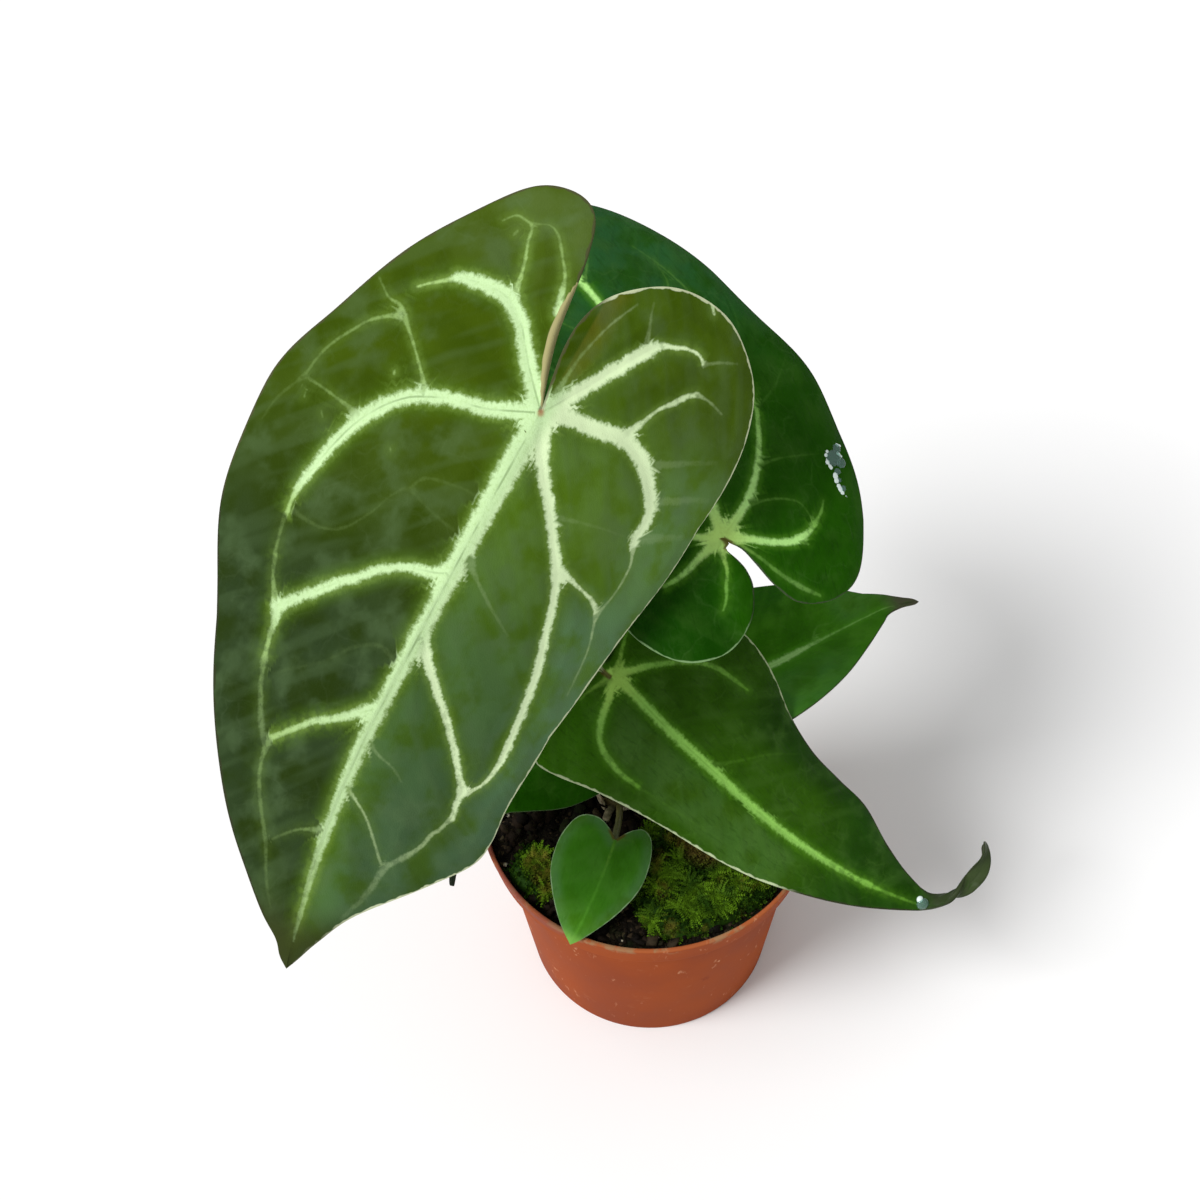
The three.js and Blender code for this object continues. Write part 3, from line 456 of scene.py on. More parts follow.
VEINS["blade_3"] = [
    (0.9, (-1, 0.8, 1.2), (4, 1, 1.6), (10, 0.5, 1.6), (20, -0.8, 1.4), (31, -1.4, 1.5), (50, -1.6, 1.4),
     (72, -1.6, 1.3), (92, -1.2, 1.1), (104, -1, 0.9), (118, -1, 0.7)),
    ((0.9, 0.4), (118, -1, 0.7), (128, -1.1, 0.5), (138, -1.3, 0.35)),
    ((0.85, 0.65), (0, 1, 1.3), (4.5, 6.7, 1.1), (9.7, 13.3, 0.9), (16.3, 19.9, 0.8), (22.9, 25.2, 0.8),
     (28.2, 27.6, 0.8), (35, 28.4, 0.7), (41, 29, 0.4)),
    ((0.95, 0.8), (1, 0, 1.2), (2.5, -3, 1.1), (4.5, -9, 1.1), (7.1, -15.6, 1), (11, -19.6, 0.9),
     (16.3, -21.6, 0.9), (23, -22.5, 0.8), (30, -22, 0.5)),
    ((0.25, 0.05), (30, -22, 0.4), (48, -19.5, 0.35), (70, -16, 0.3)),
    (0.75, (0, 1.5, 1), (-0.6, 6, 0.7), (-2.4, 11, 0.55), (-3.8, 17, 0.4), (-4, 26, 0.25)),
    (0.5, (0, 0, 0.9), (-3, -7, 0.5), (-4, -12, 0.3)),
    ((0.35, 0.08), (46, 0, 0.9), (51, 6, 0.45), (61, 17, 0.4), (72, 25, 0.25)),
    ((0.12, 0.05), (70, 0, 0.6), (84, 10, 0.3), (100, 19, 0.2)),
    ((0.1, 0.05), (60, -3, 0.6), (72, -8, 0.3), (86, -14, 0.2)),
]
VEINS["blade_4"] = [
    (1, (0, 0, 1.6), (33, -1.4, 1.5), (44, -1.2, 1.3), (52, -0.6, 0.8), (62, -0.2, 0.5), (80, 0, 0.3),
     (92, 0, 0.2)),
    ((0.5, 0.2), (53, 0, 0.4), (58, 5, 0.3), (64, 4, 0.3), (72, 8, 0.2)),
    ((0.5, 0.1), (0, 0, 0.8), (-6, -10, 0.5), (2, -20, 0.35), (20, -23, 0.25), (40, -20, 0.2)),
    ((0.5, 0.1), (0, 0, 0.8), (-6, 12, 0.5), (2, 24, 0.35), (22, 27, 0.25), (44, 23, 0.2)),
    ((0.2, 0.05), (14, 0, 0.6), (26, -10, 0.3), (42, -18, 0.2)),
    ((0.2, 0.05), (16, 0, 0.6), (28, 12, 0.3), (46, 22, 0.2)),
]
VEINS["blade_5"] = [
    ((0.25, 0.6), (0, 0, 0.5), (12, 0, 0.4), (24, 0, 0.4), (36, 0, 0.3)),
    ((0.15, 0.05), (0, 0, 0.4), (-1, -8, 0.3), (8, -13, 0.2), (20, -10, 0.15)),
    ((0.15, 0.05), (0, 0, 0.4), (-1, 7, 0.3), (8, 10, 0.2), (20, 7, 0.15)),
]
VEINS["blade_6"] = [
    ((0.3, 0.2), (0, 0, 0.6), (20, 0, 0.5), (45, 0, 0.3), (68, 0, 0.2)),
    ((0.15, 0.05), (0, 0, 0.4), (-2, -8, 0.3), (8, -13, 0.2), (26, -10, 0.15)),
    ((0.15, 0.05), (0, 0, 0.4), (-2, 8, 0.3), (8, 12.5, 0.2), (24, 10, 0.15)),
]
print("veins:", {name: len(veins) for name, veins in VEINS.items()})

# %% [markdown]
# ## Bending a leaf: along its midrib
# The midrib is walked in short steps that each turn a little down and sideways, and the steps add
# up to its path. A Simple Deform modifier bends one way only, and these leaves also sweep sideways.

# %% Path of the midrib
STATIONS = 240
BACK, FRONT = -0.45, 1.1  # the walk's start and end, as shares of the length from the hub


def leaf_turn(leaf, u):
    """How far the midrib has bent up and swept sideways at u, as two angles."""
    share = u / leaf["length"]
    return tuple(np.radians(np.interp(share, *zip(*leaf[key]))) for key in ("bend", "sweep"))


def leaf_frame(leaf):
    """The leaf's own axes at its hub and the path of its midrib."""
    heading, pitch, roll = np.radians(leaf["turns"])
    along = np.array([np.cos(heading) * np.cos(pitch), np.sin(heading) * np.cos(pitch), np.sin(pitch)])
    level = np.array([-np.cos(heading) * np.sin(pitch), -np.sin(heading) * np.sin(pitch), np.cos(pitch)])
    up = level * np.cos(roll) + np.cross(level, along) * np.sin(roll)
    u = np.linspace(BACK * leaf["length"], FRONT * leaf["length"], STATIONS + 1)
    bend, sweep = leaf_turn(leaf, u)
    walk = np.stack([np.cos(bend) * np.cos(sweep), np.cos(bend) * np.sin(sweep), np.sin(bend)])
    steps = (walk[:, 1:] + walk[:, :-1]) / 2 * (u[1] - u[0])
    path = np.concatenate([np.zeros((3, 1)), np.cumsum(steps, axis=1)], axis=1)
    path -= np.array([[np.interp(0, u, row)] for row in path])
    return {"axes": np.stack([along, np.cross(up, along), up]), "u": u, "path": path}


path_end = leaf_frame(BLADES["blade_1"])["path"][:, -1]
print("end of the front leaf's midrib:", path_end.round().tolist())

# %% [markdown]
# ## Bending a leaf: across the midrib
# Away from the midrib the surface leaves at the fold's slope, curves on with the cup, and waves at
# the margin. All points go through the same few lines at once, as arrays, which is fast.

# %% Points and directions of the bent leaf
FULL_WAVE, CALM = 60, 30  # where the margin's wave is at its full height, and where the tip calms it
NEARBY = 0.05


def leaf_points(leaf, rib, u, v, hand):
    """Where the flat points u along and v across lie. hand is -1 in the left half, 1 in the right."""
    half = (hand > 0).astype(int)
    ease = np.interp(u / leaf["length"], *zip(*leaf["ease"]))
    slope = np.radians(np.array(leaf["fold"])[half]) * ease
    growth = np.radians(np.array(leaf["cup"])[half]) * ease / 100
    w = v * hand
    out = (np.sin(slope + growth * w) - np.sin(slope)) / growth * hand
    rise = (np.cos(slope) - np.cos(slope + growth * w)) / growth
    height, length = leaf["wave"]
    ripple = np.sin(2 * np.pi * u / length + hand) * height
    rise = rise + ripple * (w / FULL_WAVE) ** 2 * np.minimum(1, np.abs(leaf["length"] - u) / CALM)
    if "twist" in leaf:
        twist = np.radians(np.interp(u / leaf["length"], *zip(*leaf["twist"])))
        turned_out = out * np.cos(twist) - rise * np.sin(twist)
        rise = out * np.sin(twist) + rise * np.cos(twist)
        out = turned_out
    bend, sweep = leaf_turn(leaf, u)
    x, y, z = (np.interp(u, rib["u"], row) for row in rib["path"])
    x = x - np.sin(sweep) * out - np.sin(bend) * np.cos(sweep) * rise
    y = y + np.cos(sweep) * out - np.sin(bend) * np.sin(sweep) * rise
    z = z + np.cos(bend) * rise
    return np.array(leaf["hub"]) + np.stack([x, y, z], axis=1) @ rib["axes"]


def leaf_normals(leaf, rib, u, v, hand):
    """The upward direction at flat points."""
    du = leaf_points(leaf, rib, u + NEARBY, v, hand) - leaf_points(leaf, rib, u - NEARBY, v, hand)
    dv = leaf_points(leaf, rib, u, v + NEARBY, hand) - leaf_points(leaf, rib, u, v - NEARBY, hand)
    normal = np.cross(du, dv)
    return normal / np.linalg.norm(normal, axis=1, keepdims=True)


def on_leaf(name, u, v):
    """A point of a blade's middle surface and the upward direction there."""
    leaf = BLADES[name]
    spot = [np.array([float(c)]) for c in (u, v, 1 if v >= 0 else -1)]
    rib = leaf_frame(leaf)
    return Vector(leaf_points(leaf, rib, *spot)[0]), Vector(leaf_normals(leaf, rib, *spot)[0])


hub, upward = on_leaf("blade_1", 0, 0)
print("front leaf's hub:", [round(c, 1) for c in hub], "upward:", [round(c, 2) for c in upward])

# %% [markdown]
# ## Smooth curves
# Outlines and veins are listed with few points. A Catmull-Rom curve passes through all of them and
# is smooth in between.

# %% Smooth curve through points
def smooth_line(points, per_span):
    points = np.asarray(points, float)
    last = len(points) - 1
    share = np.linspace(0, last, last * per_span + 1)
    i = np.minimum(share.astype(int), last - 1)
    t = (share - i)[:, None]
    p0, p1 = points[np.maximum(i - 1, 0)], points[i]
    p2, p3 = points[i + 1], points[np.minimum(i + 2, last)]
    v0, v1 = (p2 - p0) / 2, (p3 - p1) / 2
    return (2 * p1 - 2 * p2 + v0 + v1) * t**3 + (3 * p2 - 3 * p1 - 2 * v0 - v1) * t**2 + v0 * t + p1

print("a rounded corner:", smooth_line([(0, 0), (1, 0), (1, 1)], 2).round(2).tolist())

# %% [markdown]
# ## Where the veins lie
# A vein pulls the surface and colours it. For each point of the mesh the nearest place on any vein
# is looked up once and stored on the mesh: its flat position, half width, distance and strength.
# The distance to the outline is looked up in the same way.

# %% Distance to the veins and to the outline
WEB = 0.8  # how softly the bands of veins that meet run together
FAR = 1e9  # further than anything on a leaf
VEIN_STEPS = 6


def share_along(a, step, u, v):
    """How far along a piece of line the place nearest to each point lies, from 0 to 1."""
    share = ((u - a[0]) * step[0] + (v - a[1]) * step[1]) / max(step @ step, 1e-9)
    return np.clip(share, 0, 1)


def nearest_vein(name, u, v, weakest=0):
    """For each point: the nearest vein's place, half width, distance and strength, and the web."""
    gaps, rows = [], []
    for strength, *points in VEINS[name]:
        first, last = strength if isinstance(strength, tuple) else (strength, strength)
        if gaps and max(first, last) < weakest:
            continue
        line = smooth_line(points, VEIN_STEPS)
        best = np.full(len(u), FAR)
        found = np.zeros((len(u), 5))
        for a, b, shown in zip(line[:-1], line[1:], np.linspace(first, last, len(line))):
            step = b[:2] - a[:2]
            share = share_along(a, step, u, v)
            x, y, half = (a[k] + (b[k] - a[k]) * share for k in range(3))
            gap = np.hypot(u - x, v - y)
            nearer = gap - half < best
            best = np.where(nearer, gap - half, best)
            row = np.stack([x, y, half, gap, np.full(len(u), shown)], axis=1)
            found[nearer] = row[nearer]
        gaps.append(best)
        rows.append(found)
    gaps, rows = np.array(gaps), np.array(rows)
    nearest = np.argmin(gaps, axis=0)
    pull = rows[:, :, 4] * np.exp(-(gaps - gaps.min(axis=0)) / WEB)
    points = np.arange(len(u))
    others = pull.sum(axis=0) - pull[nearest, points]
    return rows[nearest, points], WEB * np.log1p(others)


def edge_distance(edges, u, v):
    best = np.full(len(u), FAR)
    for edge in edges:
        for a, b in zip(edge[:-1], edge[1:]):
            step = b - a
            share = share_along(a, step, u, v)
            best = np.minimum(best, np.hypot(u - a[0] - step[0] * share, v - a[1] - step[1] * share))
    return best


hub_vein = nearest_vein("blade_1", np.zeros(1), np.zeros(1))[0][0]
print("half width of the band at the hub:", round(float(hub_vein[2]), 2))

# %% [markdown]
# ## Rows across a leaf
# A heart splits well into two halves, each a grid whose rows run across the leaf. They are spaced
# with a sine, so they stand closer at the lobe's end and the tip, where the outline turns fastest.

# %% Rows of one half
OUTLINE_STEPS, LEAST_LOBE_ROWS = 12, 6


def half_rows(points, spacing):
    """Rows of one half: where each lies along the midrib, and its outer and inner end across it."""
    line = smooth_line(points, OUTLINE_STEPS)
    top = int(np.argmin(line[:, 0]))
    inner, outer = line[: top + 1][::-1], line[top:]
    tip, lobe = line[-1, 0], line[top, 0]
    lobe_rows = max(LEAST_LOBE_ROWS, round(-lobe * 1.4 / spacing))
    body_rows = round(tip / spacing)
    back = lobe * np.sin(np.linspace(np.pi / 2, 0, lobe_rows, endpoint=False))
    front = tip * np.sin(np.linspace(0, np.pi / 2, body_rows + 1))
    u = np.concatenate([back, front])
    rise = np.maximum.accumulate
    v_outer = np.interp(u, rise(outer[:, 0]), outer[:, 1])
    v_inner = np.where(u < 0, np.interp(u, rise(inner[:, 0]), inner[:, 1]), 0)
    v_inner[0] = v_outer[0] = line[top, 1]
    v_outer[-1] = 0
    return u, v_outer, v_inner, line


print("rows in the left half:", len(half_rows(BLADES["blade_1"]["left"], 0.9)[0]))

# %% [markdown]
# ## A leaf as a closed sheet
# The grids of both halves are welded along the midrib and extruded for the underside, so the leaf is
# one closed skin, still flat.

# %% Flat sheet of a blade
LEAST_COLUMNS = 8
EDGE_STRIP = 0.3  # width of the outermost strip of faces, as a share of the others
WELD = 1e-4


def blade_sheet(name, spacing):
    """The flat closed sheet in two layers, and the outlines of its halves."""
    bm = bmesh.new()
    hand_layer = bm.verts.layers.float.new("hand")
    side_layer = bm.verts.layers.float.new("side")
    outlines = []
    for hand, key in ((-1, "left"), (1, "right")):
        u, v_outer, v_inner, line = half_rows(BLADES[name][key], spacing)
        outlines.append(line)
        columns = max(LEAST_COLUMNS, round(np.max(np.abs(v_outer - v_inner)) / spacing))
        shares = np.linspace(0, 1, columns + 1)
        shares = np.insert(shares, 1, EDGE_STRIP / columns)
        rows, strips = len(u) - 1, len(shares) - 1
        grid = bmesh.ops.create_grid(bm, x_segments=rows, y_segments=strips, size=1)
        for vert in grid["verts"]:
            r = round((vert.co.x + 1) / 2 * rows)
            c = round((vert.co.y + 1) / 2 * strips)
            vert.co = (u[r], v_outer[r] + (v_inner[r] - v_outer[r]) * shares[c], 0)
            vert[hand_layer] = hand
            vert[side_layer] = -1
    bmesh.ops.remove_doubles(bm, verts=bm.verts, dist=WELD)
    bmesh.ops.dissolve_degenerate(bm, edges=bm.edges, dist=WELD / 10)
    extruded = bmesh.ops.extrude_face_region(bm, geom=bm.faces[:], use_keep_orig=True)
    for item in extruded["geom"]:
        if isinstance(item, bmesh.types.BMVert):
            item[side_layer] = 1
            item.co.z = 1
    bmesh.ops.recalc_face_normals(bm, faces=bm.faces)
    return bm, outlines


print("coarse sheet of the smallest leaf:", len(blade_sheet("blade_5", 2)[0].faces), "faces")

# %% [markdown]
# ## The relief of a leaf
# The front leaf is quilted: between its sunken veins the blade swells up. Below, the veins are ribs,
# and the sheet thins towards its margin. Its left lobe has a rolled lip along the cleft. Bump could
# imitate this, but only real relief shows at the outline.

# %% Height of the skin over the middle of the blade
VALLEY, CALM_EDGE, THIN_EDGE = 7, 6, 3  # reach of a strong vein's valley, of the calm and thin edge
RIB_HEIGHT, GROOVE_DEPTH, GROOVE_REACH = 0.9, 0.3, 0.7


def relief_of(leaf, u, v, side, vein, strong_gap, margin, quilt, thickness):
    """Height of the top skin (side 1) and of the lower one (side -1)."""
    half, gap, strength = vein[:, 2], vein[:, 3], vein[:, 4]
    calm = np.clip(margin / CALM_EDGE, 0, 1)
    swell = quilt * (1 - np.exp(-((strong_gap / VALLEY) ** 2))) * calm - quilt * 0.3
    groove = -GROOVE_DEPTH * strength * np.exp(-((gap / GROOVE_REACH) ** 2)) * np.minimum(half, 1)
    rib_shape = np.exp(-((gap / (0.5 + half * 0.5)) ** 2))
    ribs = -RIB_HEIGHT * strength * np.minimum(half, 1.2) * rib_shape
    wobble = np.array([noise.noise(Vector((a / 11, b / 11, 3.7))) for a, b in zip(u, v)]) * quilt * 0.6
    thin = thickness / 2 * (0.45 + 0.55 * np.clip(margin / THIN_EDGE, 0, 1))
    if "roll" in leaf:
        place, reach, thicker = leaf["roll"]
        thin = thin + thicker * np.exp(-(((u - place) / reach) ** 2))
    return swell + wobble * calm + side * thin + np.where(side > 0, groove, ribs * calm)


print("tallest rib:", RIB_HEIGHT * 1.2, "mm")

# %% Share of the lip
LIP = {"from": -2, "to": -36, "reach": 18, "width": 2.6, "height": 1.2}


def lip_share(u, v, edge_gap, hand):
    """How far into the rolled lip a point lies: 0 outside it, 1 at the margin."""
    t = np.clip((u - LIP["from"]) / (LIP["to"] - LIP["from"]), 0, 1)
    width = LIP["width"] * np.sin(np.pi * t) ** 0.7 + 1e-6
    inside = (hand < 0) & (t > 0) & (t < 1) & (np.abs(v) < LIP["reach"])
    return np.where(inside, np.clip(1 - edge_gap / width, 0, 1), 0)


def lip_height(rolled):
    """A half circle across the lip."""
    return np.sqrt(np.clip(1 - (2 * rolled - 1) ** 2, 0, 1)) * LIP["height"] * (rolled > 0)


print("height of the lip's middle:", lip_height(np.array([0.5])))

# %% [markdown]
# ## The bent leaf with its relief
# Now the sheet is bent, raised by its relief, and made a piece. What its material reads later is
# stored on its points: the flat place, the nearest vein, the web and the lip.

# %% Make a blade
STRONG = 0.45  # veins from this strength up pull a valley into the blade
RIB_MARGIN = 9  # the most that counts as distance to the margin on the midrib


def store(bm, values_by_name):
    """Stores one value or one vector for each point of a bmesh."""
    for key, values in values_by_name.items():
        kinds = bm.verts.layers.float_vector if values.ndim == 2 else bm.verts.layers.float
        layer = kinds.new(key)
        for vert, value in zip(bm.verts, values):
            vert[layer] = value


def make_blade(name, piece_name, spacing, quilt, thickness, material, lip=False):
    """spacing: distance between the mesh's rows. quilt: how far the blade swells between its veins."""
    leaf = BLADES[name]
    rib = leaf_frame(leaf)
    bm, outlines = blade_sheet(name, spacing)
    bm.verts.ensure_lookup_table()
    hand_layer, side_layer = (bm.verts.layers.float[key] for key in ("hand", "side"))
    flat = np.array([(v.co.x, v.co.y, v[hand_layer], v[side_layer]) for v in bm.verts])
    u, v, hand, side = flat.T
    middle = leaf_points(leaf, rib, u, v, hand)
    normal = leaf_normals(leaf, rib, u, v, hand)
    on_rib = np.abs(v) < 1e-6
    normal[on_rib] += leaf_normals(leaf, rib, u, v, -hand)[on_rib]
    normal /= np.linalg.norm(normal, axis=1, keepdims=True)
    flat_spots, which = np.unique(np.round(flat[:, :2], 4), axis=0, return_inverse=True)
    which = which.ravel()
    vein, web = nearest_vein(name, *flat_spots.T)
    vein, web = vein[which], web[which]
    strong_gap = nearest_vein(name, *flat_spots.T, weakest=STRONG)[0][which, 3]
    margin = edge_distance(outlines, *flat_spots.T)[which]
    to_tip = np.minimum(np.abs(leaf["left"][-1][0] - u), RIB_MARGIN)
    margin = np.where(on_rib & (u > 0), to_tip, margin)
    rolled = lip_share(u, v, margin, hand) if lip else np.zeros(len(u))
    height = relief_of(leaf, u, v, side, vein, strong_gap, margin, quilt, thickness) + lip_height(rolled)
    for vert, place in zip(bm.verts, middle + normal * height[:, None]):
        vert.co = place
    flat_place = np.stack([u, v, margin], axis=1)
    store(bm, {"flat": flat_place, "near": vein[:, :3], "gap": vein[:, 3], "strength": vein[:, 4],
               "web": web, "lip": rolled})
    return make_piece(piece_name, bm, material, (name,))


print("veins from strength", STRONG, "pull a valley")

# %% [markdown]
# ## Leaf finish: where a point lies
# The material reads the stored places and measures the distance to the vein again from them, because
# that keeps the bands crisp between the points of the mesh.

# %% Reading the stored places
def leaf_places(finish):
    at = {}
    flat, near = finish.read("flat", "Vector"), finish.read("near", "Vector")
    at["u"], at["v"], at["margin"] = (finish.part(flat, k) for k in range(3))
    at["spot"] = finish.flat(at["u"], at["v"])
    at["centre"] = finish.flat(finish.part(near, 0), finish.part(near, 1))
    at["half"] = finish.part(near, 2)
    exact = finish.vector("DISTANCE", at["spot"], at["centre"], "Value")
    at["gap"] = finish.math("MAXIMUM", exact, finish.minus(finish.read("gap"), 0.8))
    at["strength"] = finish.read("strength")
    at["top"] = finish.step(finish.read("side"), -0.4, 0.4)
    return at


def wash(finish, at, colour, share, tone, *limits):
    """Lays a tone over the colour. Each limit is a direction on the leaf, a start and an end."""
    for axis, start, end in limits:
        share = finish.times(finish.step(at[axis], start, end), share)
    return finish.mix(share, colour, tone)


print("stored: flat, near, gap, strength, web, side, lip")

# %% [markdown]
# ## Leaf finish: patches and streaks
# No leaf is one green. Slow noise makes patches, fine noise makes grain, and noise stretched along
# the side veins makes streaks. Patches and streaks of a more grey green are a painted sheen. All is
# worked out on the flat leaf, so it bends with it.

# %% Noises of a leaf
def leaf_noises(finish, at):
    spot = at["spot"]
    at["slow"] = finish.noise(spot, 0.07, 2)
    at["patches"] = finish.noise(spot, 0.08, 4, 0.5)
    at["bloom"] = finish.noise(finish.vector("ADD", spot, (300, 0, 0)), 0.085, 3, 0.5)
    at["fine"] = finish.noise(spot, 0.9, 3, 0.7)
    at["grain"] = finish.noise(spot, 2.2, 2, 0.7)
    behind = finish.minus(at["u"], finish.math("ABSOLUTE", at["v"]))
    at["streaks"] = finish.noise(finish.flat(behind, finish.times(at["v"], 0.3)), 0.15, 1, 0.4)


print("noises: slow, patches, bloom, fine, grain, streaks")

# %% [markdown]
# ## Leaf finish: bands of the veins
# The pale bands are feathered, because the green ends along tiny side veins. So the distance to the
# vein is roughened with noise before it picks the colour. A narrow glow and a wide halo lie
# outside, and a thin line runs along the middle.

# %% Bands with feathered edges
def ragged_edge(finish, at, feather):
    """How far the edge of a band strays at a point, in millimetres."""
    teeth_place = finish.vector("ADD", finish.vector("MULTIPLY", at["centre"], (0.65, 0.65, 0)),
                                finish.vector("MULTIPLY", at["spot"], (0.35, 0.35, 0)))
    stray = None
    for rough, share in ((finish.noise(teeth_place, 1.2, 3, 0.65), 0.7),
                         (finish.noise(at["spot"], 0.35, 2), 0.8), (at["fine"], 0.6)):
        part = finish.times(finish.minus(rough, 0.5), feather * share)
        stray = part if stray is None else finish.plus(stray, part)
    return finish.times(stray, finish.step(at["half"], 0.2, 1.6, 0.3, 1))


def vein_bands(finish, at, feather):
    spot, gap, half = (at[key] for key in ("spot", "gap", "half"))
    broken = finish.step(finish.noise(spot, 0.45, 2, 0.6), 0.38, 0.55, 0.55, 1)
    kept = finish.math("MAXIMUM", broken, finish.step(half, 0.6, 1.1))
    strength = finish.times(finish.math("POWER", at["strength"], 1.6), kept)
    outside = finish.minus(finish.minus(gap, half), finish.read("web"))
    rough = finish.plus(outside, ragged_edge(finish, at, feather))
    soft = finish.step(half, 0.3, 1.6, 0.4, 1)
    inside = finish.minus(finish.times(soft, 0.85), rough)
    band = finish.step(finish.math("DIVIDE", inside, finish.times(soft, 1.7)), 0, 1)
    at["band"] = finish.times(band, strength)
    at["glow"] = finish.times(finish.step(rough, 2.6, -0.2), finish.times(strength, 0.32))
    at["halo"] = finish.times(finish.step(outside, 5.5, 0.5), finish.times(strength, 0.45))
    line = finish.times(finish.step(gap, 0.45, 0.1), finish.step(half, 1, 2, 0, 0.7))
    at["line"] = finish.times(line, finish.step(at["patches"], 0.4, 0.62))


print("shares of a vein: band, glow, halo, line")

# %% [markdown]
# ## Leaf finish: the finest veins
# Between the veins runs a faint net. The edges of Voronoi cells look like it once the place is bent
# by noise. Two sizes lie over each other, and slow noise lets them fade in and out.

# %% Net of the finest veins
WIDE_NET, FINE_NET = 0.11, 0.36  # cells in a millimetre


def leaf_net(finish, at, amount):
    bend = finish.node("TexNoise", 1, None, Vector=at["spot"], Scale=0.12, Detail=2)
    bend = finish.node("VectorMath", 0, {"operation": "SCALE"}, i0=bend, Scale=9)
    bent = finish.vector("ADD", at["spot"], bend)
    wide_net = finish.step(finish.cells(bent, WIDE_NET, "DISTANCE_TO_EDGE"), 0.06, 0)
    fine_net = finish.step(finish.cells(bent, FINE_NET, "DISTANCE_TO_EDGE"), 0.1, 0)
    both = finish.plus(finish.times(wide_net, 0.7), finish.times(fine_net, 0.3))
    faint = finish.times(both, amount)
    at["net"] = finish.times(faint, finish.step(at["slow"], 0.4, 0.65))


print("cells of the nets:", round(1 / WIDE_NET), "and", round(1 / FINE_NET), "mm")

# %% [markdown]
# ## Leaf finish: from green to margin
# The colours are laid on like paint: washes, patches and streaks with their painted sheen, the halo
# and the net, then the glow, the band and its centre line. The margin and the tone of the tip come
# last.

# %% Colours of a leaf
def leaf_green(finish, at, tones, washes):
    green, light = tones[1:3]
    for share, tone, *limits in washes:
        green = wash(finish, at, green, share, tone, *limits)
    # Painted sheen: the green mixed towards the light tone, laid on in patches and along the streaks.
    sheen_grey = finish.mix(0.35, green, light)
    deeper = finish.vector("MULTIPLY", green, (0.78, 0.82, 0.25))
    patchy = finish.mix(finish.step(at["bloom"], 0.45, 0.65), green, sheen_grey)
    patchy = finish.mix(finish.step(at["patches"], 0.58, 0.34), patchy, deeper)
    return finish.mix(finish.step(at["streaks"], 0.48, 0.72, 0, 0.5), patchy, sheen_grey)


def leaf_veins(finish, at, green, tones, veins):
    """Lays the veins over the green, on the top and on the underside."""
    light, below = tones[2:]
    band, glow, centre_line, halo = veins
    top = finish.mix(at["halo"], green, halo)
    top = finish.mix(at["net"], top, band)
    top = finish.mix(at["glow"], top, glow)
    pale = finish.mix(finish.step(at["fine"], 0.45, 0.75, 0, 0.3), band, glow)
    pale = finish.mix(finish.step(at["half"], 0.45, 1.1, 0.7, 0), pale, glow)
    top = finish.mix(at["band"], top, pale)
    top = finish.mix(at["line"], top, centre_line)
    under = finish.mix(finish.step(at["patches"], 0.3, 0.7, 0, 0.25), below, light)
    under = finish.mix(finish.times(at["band"], 0.55), under, band)
    under = finish.mix(at["net"], under, band)
    return finish.mix(at["top"], under, top)


def leaf_edge(finish, at, colour, rims, tip):
    """Lays the border of the margin and the tone of the tip over the colour."""
    left, right, width, left_end, right_end = rims
    rim = finish.mix(finish.step(at["v"], -2, 2), left, right)
    end = finish.step(at["v"], -2, 2, left_end, right_end)
    past = finish.step(finish.minus(at["u"], end), -6, 6)
    rim = finish.mix(past, rim, (0.03, 0.035, 0.015))
    thick = finish.step(finish.noise(at["spot"], 0.25, 2), 0.3, 0.7, 0.3 * width, width)
    border = finish.step(finish.minus(at["margin"], thick), 0.15, -0.2, 0, 0.85)
    colour = finish.mix(border, colour, rim)
    tip_tone, start, full = tip
    return finish.mix(finish.step(at["u"], start, full, 0, 0.9), colour, tip_tone)


print("painted in turn: green, veins, edge")

# %% [markdown]
# ## Leaf finish: the recipe
# One recipe joins these steps for all six leaves. It is told the tones and the washes, how ragged
# the bands are and how glossy the skin is.

# %% Leaf finish
NO_VELVET = (0, 0.5, (1, 1, 1))


def leaf_finish(name, tones, washes, veins, rims, tip, gloss, net, feather, velvet=NO_VELVET):
    """tones: shade, used for painted shade in creases; mid; light, used for the painted sheen and the
    underside's mottling; underside. washes: see wash. veins: band, glow, centre line, halo.
    rims: left tone, right tone, width, and where the pale margin ends on the left and the right.
    tip: tone of the tip, and where it starts and is full. gloss: roughness, specular level.
    velvet: weight, roughness and tint of the sheen."""
    finish = Finish(name, Roughness=gloss[0], Specular_IOR_Level=gloss[1], Sheen_Weight=velvet[0],
                    Sheen_Roughness=velvet[1], Sheen_Tint=velvet[2])
    at = leaf_places(finish)
    leaf_noises(finish, at)
    vein_bands(finish, at, feather)
    leaf_net(finish, at, net)
    green = leaf_green(finish, at, tones, washes)
    colour = leaf_veins(finish, at, green, tones, veins)
    return finish, leaf_edge(finish, at, colour, rims, tip), at


print("without velvet, the sheen has weight", NO_VELVET[0])
